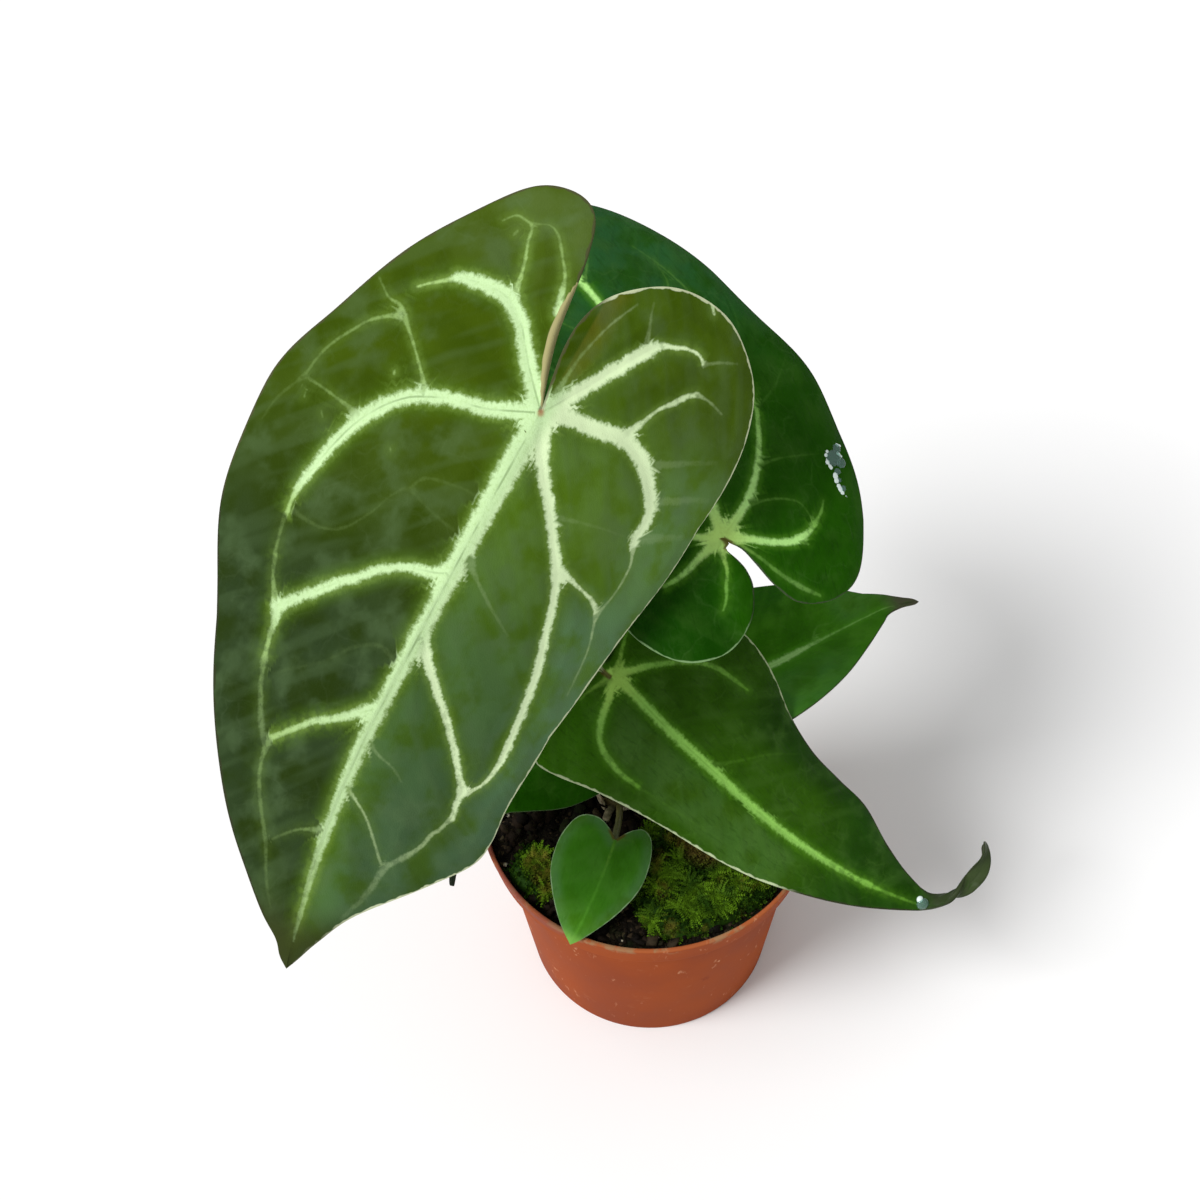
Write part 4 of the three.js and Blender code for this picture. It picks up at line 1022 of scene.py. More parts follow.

# %% [markdown]
# ## The front leaf
# Its hairs of velvet scatter light, so it is a rough surface with a little sheen and no sharp
# highlight. The green is olive on the lobes. The right half, which turns away, is painted paler and
# bluish-grey, and more grey towards the tip: a painted sheen. These slow changes are laid on as
# washes.

# %% Velvet finish
VELVET_WASHES = [
    (0.85, (0.08, 0.13, 0.024), ("u", -16, -54), ("v", 0, -14)),
    (0.9, (0.019, 0.037, 0.013), ("u", 5, 85), ("v", 3, -1)),
    # Painted sheen: the next five washes make the right half, which turns away, paler and bluish-grey.
    (0.75, (0.066, 0.125, 0.006), ("v", 0, 3)),
    (0.8, (0.11, 0.215, 0.034), ("v", 0, 4), ("u", -30, 4)),
    (0.8, (0.06, 0.13, 0.044), ("v", 0, 4), ("u", 20, 80)),
    (0.8, (0.12, 0.24, 0.08), ("v", 36, 58), ("u", -34, 4)),
    (0.85, (0.1, 0.205, 0.092), ("v", 32, 46), ("u", 24, 50)),
    (0.6, (0.13, 0.13, 0.01), ("v", 9, 2), ("v", -0.5, 0.5), ("u", -6, -16)),
    # Painted sheen: a bluish-grey wash towards the tip on the right half.
    (0.65, (0.046, 0.09, 0.045), ("u", 70, 130), ("v", 4, 16)),
]
finish, colour, at = leaf_finish(
    "velvet_leaf",
    ((0.032, 0.068, 0), (0.045, 0.082, 0.001), (0.09, 0.15, 0.06), (0.19, 0.22, 0.1)),
    VELVET_WASHES,
    ((0.55, 0.76, 0.4), (0.26, 0.42, 0.08), (0.22, 0.34, 0.14), (0.07, 0.145, 0.008)),
    ((0.07, 0.07, 0.03), (0.66, 0.72, 0.46), 0.95, 60, 174),
    ((0.034, 0.044, 0.01), 150, 166),
    (0.65, 0.03), 0.014, 2.5, (0.01, 0.5, (0.75, 0.95, 0.85)))
print("washes on the front leaf:", len(VELVET_WASHES))

# %% [markdown]
# ## Last touches on the front leaf
# The bands grow duller towards the tip. On the right half, which turns away from the lamp, they are
# painted brighter: painted light. A brown dot marks the place where the stalk joins, and the lip is
# straw-coloured. Its bump is only fine grain, because the quilting is already in the mesh.

# %% Front leaf
faded = finish.times(at["band"], finish.step(at["u"], 40, 165, 0, 0.4))
colour = finish.mix(faded, colour, (0.2, 0.3, 0.12))
# Painted light: the bands on the right half are painted brighter.
bright = finish.times(at["band"], finish.step(at["v"], 1, 6, 0, 0.85))
colour = finish.mix(bright, colour, (0.82, 1, 0.6))
from_hub = finish.length(at["spot"])
colour = finish.mix(finish.step(from_hub, 1.6, 0.4, 0, 0.7), colour, (0.36, 0.14, 0.05))
colour = finish.mix(finish.step(finish.read("lip"), 0.02, 0.12), colour, (0.36, 0.33, 0.15))
relief = finish.plus(finish.times(at["grain"], 0.5), finish.times(at["net"], -1.2))
relief = finish.plus(relief, finish.times(at["streaks"], 1.5))
velvet_leaf = finish.wear(Base_Color=colour, Normal=finish.bump(relief, 0.35, 0.0008))
make_blade("blade_1", "leaf_1", 0.9, 1, 0.9, velvet_leaf, lip=True)

# %% [markdown]
# ## The other leaves: satin finish
# The other leaves are satin, deep green, with yellow-green veins. Fine creases run along them, bumped
# and darkened with painted shade, the veins glow near the hub, and a brownish collar surrounds the joint
# with the stalk.

# %% Satin finish
def green_leaf(name, tones, washes, veins, rims, tip, gloss, net, feather, bump):
    """As leaf_finish, with creases in painted shade, the glow near the hub, the collar and the relief."""
    finish, colour, at = leaf_finish(name, tones, washes, veins, rims, tip, gloss, net, feather)
    leaning = finish.plus(at["u"], finish.times(at["v"], 0.6))
    crease_place = finish.flat(finish.times(leaning, 0.2), finish.times(at["v"], 0.7))
    crease = finish.step(finish.noise(crease_place, 1, 2, 0.5), 0.5, 0.75, 0, 0.3)
    crease = finish.times(crease, finish.minus(1, at["band"]))
    # Painted shade: the creases are darkened towards the shade tone, besides their bump.
    colour = finish.mix(crease, colour, tones[0])
    from_hub = finish.length(at["spot"])
    bright = finish.times(at["band"], finish.step(from_hub, 16, 2, 0, 0.55))
    colour = finish.mix(finish.times(bright, at["top"]), colour, (0.55, 0.8, 0.16))
    collar = finish.times(finish.step(from_hub, 5, 3), finish.step(at["margin"], 1.3, 0.5, 0, 0.9))
    colour = finish.mix(collar, colour, (0.1, 0.075, 0.012))
    relief = finish.plus(finish.times(at["streaks"], 1.5), finish.times(at["net"], -1.5))
    relief = finish.plus(relief, finish.times(at["fine"], 0.3))
    relief = finish.minus(relief, finish.times(crease, 0.6))
    return finish.wear(Base_Color=colour, Normal=finish.bump(relief, bump, 0.001))


print("satin leaves:", len(BLADES) - 1)

# %% [markdown]
# ## The leaf behind
# The second leaf lies flat, and its outer part is painted a bluer green: a painted reflection of the
# white room. The part beside the hub is deeper, and the right margin is pale there.

# %% Deep green leaf
DEEP_TONES = (0.006, 0.042, 0.0005), (0.012, 0.072, 0.0005), (0.036, 0.1, 0.012), (0.12, 0.19, 0.06)
deep_green = green_leaf(
    "deep_green_leaf",
    DEEP_TONES,
    # Painted reflection: the outer part is washed a bluer green.
    [(0.85, (0.018, 0.082, 0.024), ("u", 42, 95)),
     (0.8, (0.005, 0.045, 0.0004), ("v", 1, 10), ("u", 30, 10))],
    ((0.5, 0.88, 0.28), (0.16, 0.42, 0.03), (0.24, 0.5, 0.1), (0.02, 0.12, 0.002)),
    ((0.05, 0.07, 0.035), (0.22, 0.36, 0.16), 0.5, 20, 40),
    ((0.05, 0.06, 0.03), 146, 150),
    (0.42, 0.03), 0.022, 1.7, 0.4)
make_blade("blade_2", "leaf_2", 1, 0.7, 0.9, deep_green)

# %% [markdown]
# ## The leaf with the drip tip
# The third leaf is painted lighter on its left lobe, as painted light, and is darker towards its tip.
# Its cleft is painted nearly black as a painted shadow, a strip on its right half has painted shade,
# and a band inside its left margin has a painted sheen. A pale margin runs round its broad part.

# %% Middle green leaf
mid_green = green_leaf(
    "mid_green_leaf",
    ((0.012, 0.055, 0.0006), (0.028, 0.095, 0.001), (0.07, 0.16, 0.026), (0.12, 0.2, 0.06)),
    # Painted light: the left lobe is painted lighter.
    [(0.8, (0.046, 0.17, 0.002), ("u", 28, 4), ("v", -6, -14)),
     # Painted shadow: the cleft is painted nearly black.
     (0.9, (0.004, 0.012, 0.001), ("u", -2.8, -4.2), ("v", 2, 3.4), ("v", 13, 9)),
     # Painted sheen: a lighter band between the midrib and the left margin.
     (0.7, (0.055, 0.14, 0.022), ("u", 4, 14), ("u", 100, 80), ("v", -3, -7), ("v", -24, -18)),
     # Painted shade: a dark strip on the right half.
     (0.85, (0.01, 0.044, 0.002), ("u", 36, 58), ("v", 14, 24)),
     (0.85, (0.01, 0.05, 0.003), ("u", 86, 114))],
    ((0.31, 0.63, 0.12), (0.14, 0.38, 0.02), (0.1, 0.26, 0.02), (0.03, 0.12, 0.001)),
    ((0.6, 0.7, 0.42), (0.5, 0.6, 0.34), 0.85, 92, 60),
    ((0.032, 0.045, 0.018), 138, 146),
    (0.4, 0.06), 0.04, 2, 0.6)
make_blade("blade_3", "leaf_3", 1, 0.6, 0.9, mid_green)

# %% [markdown]
# ## The young leaf
# The fourth leaf is young and bright: painted light where it faces the lamp, painted shade beyond the
# midrib.

# %% Young green leaf
young_green = green_leaf(
    "young_green_leaf",
    ((0.028, 0.135, 0.001), (0.042, 0.19, 0.002), (0.09, 0.27, 0.02), (0.13, 0.24, 0.07)),
    # The first two washes are painted light, the last two painted shade beyond the midrib.
    [(0.8, (0.05, 0.18, 0.028), ("v", -4, -14), ("u", 70, 50)),
     (0.7, (0.075, 0.22, 0.04), ("u", 62, 72), ("v", -1, 2)),
     (0.85, (0.005, 0.06, 0.008), ("v", 12, 24), ("u", 62, 50)),
     (0.6, (0.024, 0.12, 0.001), ("v", 0, 3), ("u", 62, 50))],
    ((0.34, 0.62, 0.2), (0.12, 0.38, 0.03), (0.13, 0.36, 0.04), (0.05, 0.22, 0.003)),
    ((0.05, 0.06, 0.03), (0.14, 0.2, 0.1), 0.35, 60, 60),
    ((0.1, 0.09, 0.06), 82, 91),
    (0.42, 0.06), 0.03, 1.8, 0.35)
make_blade("blade_4", "leaf_4", 1.1, 0.35, 0.9, young_green)

# %% [markdown]
# ## The two small leaves
# The fifth leaf has just opened over the front rim. Its veins hardly show, and its border is light.
# The sixth, under the front one, is old and deep green, and the thin end of its tip is painted black:
# painted shade under the front leaf.

# %% Small and old green leaf
small_green = green_leaf(
    "small_green_leaf",
    ((0.028, 0.135, 0.001), (0.04, 0.18, 0.006), (0.08, 0.24, 0.03), (0.13, 0.24, 0.07)),
    [(0.8, (0.075, 0.2, 0.062), ("margin", 5, 1)),
     (0.7, (0.1, 0.3, 0.03), ("u", 20, 36))],
    ((0.2, 0.5, 0.08), (0.1, 0.36, 0.02), (0.13, 0.36, 0.04), (0.05, 0.22, 0.003)),
    ((0.3, 0.46, 0.24), (0.3, 0.46, 0.24), 0.4, 34, 34),
    ((0.22, 0.5, 0.08), 33, 37),
    (0.4, 0.08), 0.02, 2, 0.35)
make_blade("blade_5", "leaf_5", 0.7, 0.2, 0.8, small_green)

old_green = green_leaf(
    "old_green_leaf",
    DEEP_TONES,
    [(0.7, (0.02, 0.085, 0.012), ("u", 30, 60))],
    ((0.16, 0.4, 0.08), (0.06, 0.2, 0.02), (0.1, 0.24, 0.04), (0.012, 0.085, 0.001)),
    ((0.06, 0.1, 0.04), (0.06, 0.1, 0.04), 0.25, 60, 60),
    # Painted shade: the tip turns black.
    ((0.007, 0.007, 0.006), 64, 68),
    (0.42, 0.03), 0.05, 2, 0.4)
make_blade("blade_6", "leaf_6", 0.9, 0.25, 0.8, old_green)

# %% [markdown]
# ## A round rod along a curve
# Stalks, roots and fibres are thin rods. A circle is extruded from place to place along a curve and
# turns no more than the curve asks, so the rod doesn't twist. A curve object with a bevel would do
# for plain tubes, but these thin, swell and are pressed flat at an end.

# %% Even steps along a curve
CURVE_STEPS = 24


def centripetal(points, count):
    points = [Vector(p) for p in points]
    first, last = points[0] * 2 - points[1], points[-1] * 2 - points[-2]
    padded = [first] + points + [last]
    line = []
    for i in range(len(points) - 1):
        p0, p1, p2, p3 = padded[i: i + 4]
        k0, k1, k2 = ((b - a).length ** 0.5 for a, b in ((p0, p1), (p1, p2), (p2, p3)))
        t1 = ((p1 - p0) / k0 - (p2 - p0) / (k0 + k1) + (p2 - p1) / k1) * k1
        t2 = ((p2 - p1) / k1 - (p3 - p1) / (k1 + k2) + (p3 - p2) / k2) * k1
        for t in np.linspace(0, 1, CURVE_STEPS, endpoint=False):
            bent = (2 * p1 - 2 * p2 + t1 + t2) * t**3 + (3 * p2 - 3 * p1 - 2 * t1 - t2) * t**2
            line.append(bent + t1 * t + p1)
    line = np.array(line + [points[-1]])
    far = np.concatenate([[0], np.cumsum(np.linalg.norm(np.diff(line, axis=0), axis=1))])
    even = np.linspace(0, far[-1], count)
    return [Vector([np.interp(s, far, line[:, k]) for k in range(3)]) for s in even], far[-1]


print("length of an arch:", round(float(centripetal([(0, 0, 0), (5, 0, 5), (10, 0, 0)], 20)[1]), 1))

# %% Rod helper
def add_rod(bm, line, radius_at, sides):
    """Carries a circle along the line; radius_at gives its radius from the share of the length."""
    ring = bmesh.ops.create_circle(bm, cap_ends=True, segments=sides, radius=1)["verts"]
    rest = [v.co.copy() for v in ring]
    turn = None
    for i, spot in enumerate(line):
        ahead = line[min(i + 1, len(line) - 1)] - line[max(i - 1, 0)]
        if turn is None:
            turn = ahead.to_track_quat("Z", "Y").to_matrix()
        else:
            turn = (turn.col[2].rotation_difference(ahead).to_matrix()) @ turn
            edges = {e for v in ring for e in v.link_edges if e.is_valid and all(w in ring for w in e.verts)}
            made = bmesh.ops.extrude_edge_only(bm, edges=list(edges))["geom"]
            fresh = [v for v in made if isinstance(v, bmesh.types.BMVert)]
            order = {tuple(round(c, 5) for c in v.co): k for k, v in enumerate(ring)}
            ring = sorted(fresh, key=lambda v: order[tuple(round(c, 5) for c in v.co)])
        for co, vert in zip(rest, ring):
            vert.co = spot + turn @ (co * radius_at(i / (len(line) - 1)))
    bmesh.ops.contextual_create(bm, geom=ring)
    bmesh.ops.recalc_face_normals(bm, faces=bm.faces)


print("rods: stalks, roots, fibres")

# %% [markdown]
# ## Skin of the stalks
# A petiole is olive green with fine streaks and pale flecks, and brownish at its foot. Noise that is
# squeezed across and stretched upwards gives the streaks.

# %% Petiole finish
finish = Finish("petiole_skin", Roughness=0.45, Specular_IOR_Level=0.4)
where = finish.place()
streak = finish.noise(finish.vector("MULTIPLY", where, (900, 900, 60)), 1, 3)
fleck = finish.step(finish.cells(where, 700), 0.32, 0.12)
colour = finish.mix(finish.step(streak, 0.3, 0.7), (0.07, 0.12, 0.02), (0.13, 0.19, 0.04))
colour = finish.mix(finish.times(fleck, 0.35), colour, (0.22, 0.24, 0.1))
warm = finish.step(finish.part(where, 2), 0.125, 0.098)
colour = finish.mix(finish.times(warm, 0.6), colour, (0.16, 0.09, 0.03))
petiole_skin = finish.wear(Base_Color=colour, Normal=finish.bump(streak, 0.2, 0.0004))
print("stalks turn brown below", 0.125 / MM, "mm")

# %% [markdown]
# ## Stalks
# Each stalk is a little swollen at its foot and in the knee below the blade, where the real one bends
# to turn the leaf to the light. Its end is pressed flat against the blade's underside.

# %% Petioles
# radius at foot and knee, place of the joint on the blade, the points that the stalk passes
STALKS = [
    (2.3, 1.9, 4.4, [(-15, 6, 97), (-15.5, 9, 122), (-17, 12, 166), (-24, 9, 222)]),
    (2.1, 1.7, 3.8, [(-9.5, 7, 100), (-9, 13, 122), (-10.5, 21, 163), (-1, 23, 190)]),
    (2, 1.6, 3.6, [(-11, 0.5, 102), (-12, 0, 116), (-13, 2, 142)]),
    (1.7, 1.35, 3.6, [(-7, 1.5, 95.5), (1, 10, 106)]),
    (1.2, 1, 2.3, [(-10.5, -2, 98), (-10, -13, 105)]),
    (1.5, 1.2, 2.7, [(-15, 1, 96), (-19, 2, 108)]),
]
FLARE, FLARE_LENGTH = 0.22, 7
KNEE, KNEE_LENGTH = 0.3, 8
STALK_SEAT = 0.6  # how far below the blade's middle surface a stalk ends
STOUT = 1.6  # stalks with a thicker foot than this get more rings
STALK_SIDES = 20

for number, (thick, thin, joint, via) in enumerate(STALKS, 1):
    spot, upward = on_leaf(f"blade_{number}", joint, 0)
    line, length = centripetal(via + [tuple(spot - upward * 0.2)], 60 if thick > STOUT else 36)

    def radius_at(share):
        foot = FLARE * math.exp(-share * length / FLARE_LENGTH)
        knee = KNEE * math.exp(-(((1 - share) * length / KNEE_LENGTH) ** 2))
        return (thick + (thin - thick) * share) * (1 + foot + knee)

    bm = bmesh.new()
    add_rod(bm, line, radius_at, STALK_SIDES)
    for vert in bm.verts:
        above = (vert.co - spot).dot(upward) + STALK_SEAT
        if above > 0 and (vert.co - spot).length < 2 * KNEE_LENGTH:
            vert.co -= upward * above
    make_piece(f"stalk_{number}", bm, petiole_skin, (f"petiole_{number}",))

# %% [markdown]
# ## Pot
# Nursery pots are thin moulded cups with a stepped collar, which stiffens the rim. A profile is spun
# about the axis, with a full turn merged at its seam.

# %% Spin helper and the pot's sizes
RIM, POT_TOP, BASE, NECK, COLLAR, LEDGE, WALL = 60, 97, 47, 54.3, 11, 58.5, 1.2
FOOT_WIDTH, DISC, RECESS, SLOPE = 5, 14, 3, 2
SHOULDER = POT_TOP - COLLAR
POT_SIDES = 128


def spin_profile(profile, sides):
    """Turns a profile of (radius, height) about the Z axis; its ends lie on the axis."""
    bm = bmesh.new()
    verts = [bm.verts.new((r, 0, z)) for r, z in profile]
    edges = [bm.edges.new(pair) for pair in zip(verts[:-1], verts[1:])]
    bmesh.ops.spin(bm, geom=verts + edges, cent=(0, 0, 0), axis=(0, 0, 1), angle=2 * math.pi,
                   steps=sides, use_merge=True)
    bmesh.ops.remove_doubles(bm, verts=bm.verts, dist=1e-4)
    bmesh.ops.recalc_face_normals(bm, faces=bm.faces)
    return bm


print("pot:", 2 * RIM, "mm wide at the rim,", 2 * BASE, "at the base,", POT_TOP, "high")

# %% [markdown]
# ## The pot's wall
# The profile runs from the axis over the foot ring, up the outside, over the rim and back down the
# inside, so the spun cup is closed and has its real thickness. Small steps at its edges catch the
# light as moulded edges do.

# %% Profile of the wall
pot_profile = [
    (0, 0), (DISC, 0), (DISC + SLOPE, RECESS), (BASE - FOOT_WIDTH - SLOPE, RECESS),
    (BASE - FOOT_WIDTH, 0), (BASE - 0.9, 0), (BASE - 0.3, 0.25), (BASE, 0.8),
    (NECK - 0.15, SHOULDER - 3.2), (NECK + 0.1, SHOULDER - 1.7), (NECK + 0.9, SHOULDER - 1),
    (LEDGE - 0.5, SHOULDER - 0.35), (LEDGE - 0.1, SHOULDER), (LEDGE, SHOULDER + 0.5),
    (RIM - 0.15, POT_TOP - 1.3), (RIM, POT_TOP - 0.7), (RIM - 0.15, POT_TOP - 0.2), (RIM - 0.45, POT_TOP),
    (RIM - WALL + 0.1, POT_TOP), (RIM - WALL - 0.25, POT_TOP - 0.25), (RIM - WALL - 0.4, POT_TOP - 0.8),
    (LEDGE - WALL, SHOULDER + 1.2), (LEDGE - WALL - 0.6, SHOULDER + 0.7), (NECK - WALL, SHOULDER),
    (BASE - WALL, WALL + 0.5), (BASE - WALL - 0.5, WALL), (BASE - FOOT_WIDTH, WALL),
    (BASE - FOOT_WIDTH - SLOPE, RECESS + WALL), (DISC + SLOPE, RECESS + WALL), (DISC, WALL), (0, WALL),
]
bm = spin_profile(pot_profile, POT_SIDES)
print("cup:", len(bm.faces), "faces")

# %% [markdown]
# ## Plastic of the pot
# The terracotta colour is moulded in, but the pot has been used: cloudy patches, dust, scuffs,
# splashes and a soiled rim. Each is a noise of its own size. Light upright streaks are partly scuffs
# and partly painted highlights, the top of the rim has a painted highlight, and the left of the rim
# is darkened with a painted shadow.

# %% Plastic finish
plastic = Finish("pot_plastic", Specular_IOR_Level=0.02)
where = plastic.place()
cloud = plastic.noise(where, 22, 4)
scuff_and_highlight = plastic.noise(plastic.vector("MULTIPLY", where, (260, 260, 90)), 1, 5, 0.65)
dust = plastic.step(plastic.noise(where, 130, 5, 0.7), 0.6, 0.78)
height = plastic.part(where, 2)
colour = plastic.mix(plastic.step(cloud, 0.3, 0.7), (0.26, 0.045, 0.008), (0.35, 0.07, 0.014))
colour = plastic.mix(plastic.times(dust, 0.25), colour, (0.5, 0.2, 0.09))
# Light upright streaks: partly scuffs and partly painted highlights. The same noise bumps the surface.
colour = plastic.mix(plastic.step(scuff_and_highlight, 0.62, 0.72, 0, 0.5), colour, (0.7, 0.36, 0.2))
splash = plastic.noise(plastic.vector("MULTIPLY", where, (95, 95, 60)), 1, 4, 0.7)
colour = plastic.mix(plastic.step(splash, 0.66, 0.7, 0, 0.6), colour, (0.72, 0.4, 0.22))
colour = plastic.mix(plastic.step(splash, 0.36, 0.26, 0, 0.5), colour, (0.2, 0.03, 0.008))
# Painted highlight: the top of the rim is painted lighter.
colour = plastic.mix(plastic.step(height, 0.0955, 0.097, 0, 0.4), colour, (0.5, 0.17, 0.07))
soil_spots = plastic.step(plastic.noise(where, 150, 4, 0.6), 0.5, 0.62, 0, 0.8)
soiled = plastic.times(plastic.step(height, 0.0925, 0.0965), soil_spots)
colour = plastic.mix(soiled, colour, (0.34, 0.2, 0.1))
# Painted shadow: the left part of the rim is darkened to a deep red, in uneven patches.
across = plastic.part(where, 0)
left_rim_shadow = plastic.times(plastic.step(across, -0.02, -0.045), plastic.step(height, 0.0895, 0.092))
shadow_patches = plastic.step(plastic.noise(where, 90, 3), 0.3, 0.55, 0.3, 0.85)
left_rim_shadow = plastic.times(left_rim_shadow, shadow_patches)
colour = plastic.mix(left_rim_shadow, colour, (0.24, 0.07, 0.055))
rough = plastic.step(cloud, 0.3, 0.7, 0.5, 0.62)
pot_plastic = plastic.wear(Base_Color=colour, Roughness=rough, Normal=plastic.bump(scuff_and_highlight, 0.08, 0.0003))
pot = make_piece("pot_shell", bm, pot_plastic, ("pot",))

# %% [markdown]
# ## Drain holes
# Water leaves through a ring of holes in the base. Eight rods in one mesh are taken away from the
# pot with a boolean, its result is copied to the pot, and the rods are deleted.

# %% Cut the drain holes
DRAIN_COUNT, DRAIN_RADIUS, DRAIN_CIRCLE, DRAIN_SIDES, DRILL_LENGTH = 8, 2.5, 30, 24, 6

bm = bmesh.new()
for i in range(DRAIN_COUNT):
    angle = 2 * math.pi * (i + 0.5) / DRAIN_COUNT
    spot = Matrix.Translation((DRAIN_CIRCLE * math.cos(angle), DRAIN_CIRCLE * math.sin(angle), RECESS))
    bmesh.ops.create_cone(bm, cap_ends=True, segments=DRAIN_SIDES, radius1=DRAIN_RADIUS,
                          radius2=DRAIN_RADIUS, depth=DRILL_LENGTH, matrix=spot)
bmesh.ops.scale(bm, vec=(MM, MM, MM), verts=bm.verts)
drill = add_object("drill", mesh_from("drill", bm))
cut = pot.modifiers.new("drain_holes", "BOOLEAN")
cut.operation = "DIFFERENCE"
cut.object = drill
cut.solver = "EXACT"
cut_pot = pot.evaluated_get(bpy.context.evaluated_depsgraph_get())
cut_mesh = bpy.data.meshes.new_from_object(cut_pot)
pot.modifiers.clear()
pot.data = cut_mesh
bpy.data.objects.remove(drill)
print("pot with holes:", len(cut_mesh.polygons), "faces")

# %% [markdown]
# ## Surface of the bark mix
# The mix is a low crown with lumps and crumbs, which are noise of two sizes. The same function later
# sets every chip and moss shoot on the ground.

# %% Height of the mix
SOIL_EDGE, SOIL_CROWN, SOIL_RADIUS = 91.5, 93.5, 57.6


def soil_height(x, y):
    share = min(1, math.hypot(x, y) / SOIL_RADIUS)
    crown = SOIL_CROWN + (SOIL_EDGE - SOIL_CROWN) * share**2
    lumps = noise.fractal(Vector((x / 9, y / 9, 1.7)), 0.9, 2.1, 3) * 1.3
    crumbs = noise.fractal(Vector((x / 2.3, y / 2.3, 5.1)), 0.8, 2.2, 2) * 0.5
    return crown + (lumps + crumbs) * (1 - 0.6 * share**6)


def to_disc(x, y):
    """Presses a square into a circle without pinching the middle."""
    return x * math.sqrt(1 - y * y / 2), y * math.sqrt(1 - x * x / 2)

print("height of the mix in the middle:", round(soil_height(0, 0), 1))

# %% [markdown]
# ## Body of the bark mix
# The mix is one closed shape that fills the pot. Its top is a square grid pressed into a circle, for
# even faces, and its rim is extruded down along the pot's inside.

# %% Fill the pot
SOIL_CELLS = 96
INSIDE = WALL + 0.25  # the mix stays this far from the pot's outer surface

bm = bmesh.new()
bmesh.ops.create_grid(bm, x_segments=SOIL_CELLS, y_segments=SOIL_CELLS, size=1)
for vert in bm.verts:
    x, y = (c * SOIL_RADIUS for c in to_disc(vert.co.x, vert.co.y))
    vert.co = (x, y, soil_height(x, y))
rim_edges = [e for e in bm.edges if e.is_boundary]
for radius, z in ((LEDGE - INSIDE, SHOULDER + 2), (NECK - INSIDE, SHOULDER), (BASE - INSIDE, WALL + 1),
                  (BASE - FOOT_WIDTH + 1, WALL + 0.3), (BASE - FOOT_WIDTH - SLOPE, RECESS + WALL + 0.3)):
    made = bmesh.ops.extrude_edge_only(bm, edges=rim_edges)["geom"]
    rim_edges = [e for e in made if isinstance(e, bmesh.types.BMEdge)]
    for vert in {v for e in rim_edges for v in e.verts}:
        flat_length = math.hypot(vert.co.x, vert.co.y)
        vert.co = (vert.co.x / flat_length * radius, vert.co.y / flat_length * radius, z)
bmesh.ops.edgeloop_fill(bm, edges=rim_edges)
print("mix:", len(bm.faces), "faces")

# %% [markdown]
# ## Look of the bark mix
# Wet bark is nearly black, with paler crumbs and a green film of algae where it stays damp. The
# crumbs are Voronoi cells, each with one tone, and they also roughen the surface.

# %% Bark mix finish
finish = Finish("bark_mix", Roughness=0.85, Specular_IOR_Level=0.1)
where = finish.place()
clumps = finish.noise(where, 260, 5, 0.65)
crumb = finish.cells(where, 900, "F1", "Color")
crumb_tone = finish.part(crumb, 0)
colour = finish.mix(finish.step(clumps, 0.35, 0.7), (0.004, 0.003, 0.002), (0.014, 0.01, 0.006))
colour = finish.mix(finish.step(crumb_tone, 0.82, 1, 0, 0.7), colour, (0.08, 0.055, 0.03))
green_film = finish.step(finish.noise(where, 90, 4), 0.55, 0.7, 0, 0.5)
colour = finish.mix(green_film, colour, (0.022, 0.035, 0.008))
relief = finish.plus(clumps, finish.times(finish.cells(where, 900), -0.5))
bark_mix = finish.wear(Base_Color=colour, Normal=finish.bump(relief, 0.9, 0.0015))
make_piece("bark_bed", bm, bark_mix, ("soil",))

# %% [markdown]
# ## Scattered pieces
# Chips, fibres, moss and grains are small shapes, made once and copied with their own place, turn
# and size. A seeded random source keeps each run alike. A copy's tone, from 0 to 1, later becomes
# its colour.

# %% Scatter helper
def mesh_of(build):
    """Runs a modelling function on an empty bmesh and returns a mesh."""
    bm = bmesh.new()
    build(bm)
    bmesh.ops.recalc_face_normals(bm, faces=bm.faces)
    return mesh_from("shape", bm)


def scatter(shapes, places):
    """places: (which shape, matrix, tone). Returns one bmesh that holds all the copies."""
    bm = bmesh.new()
    tone_layer = bm.verts.layers.float.new("tone")
    tones = []
    for which, matrix, tone in places:
        shape = shapes[which]
        shape.transform(matrix)
        bm.from_mesh(shape)
        shape.transform(matrix.inverted())
        tones += [tone] * len(shape.vertices)
    for vert, tone in zip(bm.verts, tones):
        vert[tone_layer] = tone
    print("copies:", len(places))
    return bm


def sized(size):
    return Matrix.Diagonal((size, size, size, 1))


def spread(rng, x, y, z, size, lean=0.5):
    """A matrix for a copy that is turned at random and leans a little."""
    turn = Euler((rng.gauss(0, lean), rng.gauss(0, lean), rng.uniform(0, 2 * math.pi))).to_matrix().to_4x4()
    return Matrix.Translation((x, y, z)) @ turn @ sized(size)


print("size of a copy:", spread(random.Random(1), 0, 0, 0, 2).to_scale()[0])

# %% [markdown]
# ## Outline of the moss cushions
# Two cushions of moss lie on the mix, each an uneven ellipse. They are set out before the chips,
# because the chips keep clear of them.

# %% Moss outline and the height of the ground
MOSS = {
    "moss_front": dict(x=17.5, y=-27, a=31.5, b=22.5, turn=18, height=5.5),
    "moss_left": dict(x=-37, y=-29, a=12, b=9, turn=-45, height=4),
}
MOSS_WAIST = SOIL_EDGE + 0.6
MOSS_CLEAR = 0.93  # chips may reach in under the outermost shoots


def lobes(angle):
    return 1 + 0.07 * math.sin(3 * angle + 1) + 0.05 * math.sin(5 * angle)


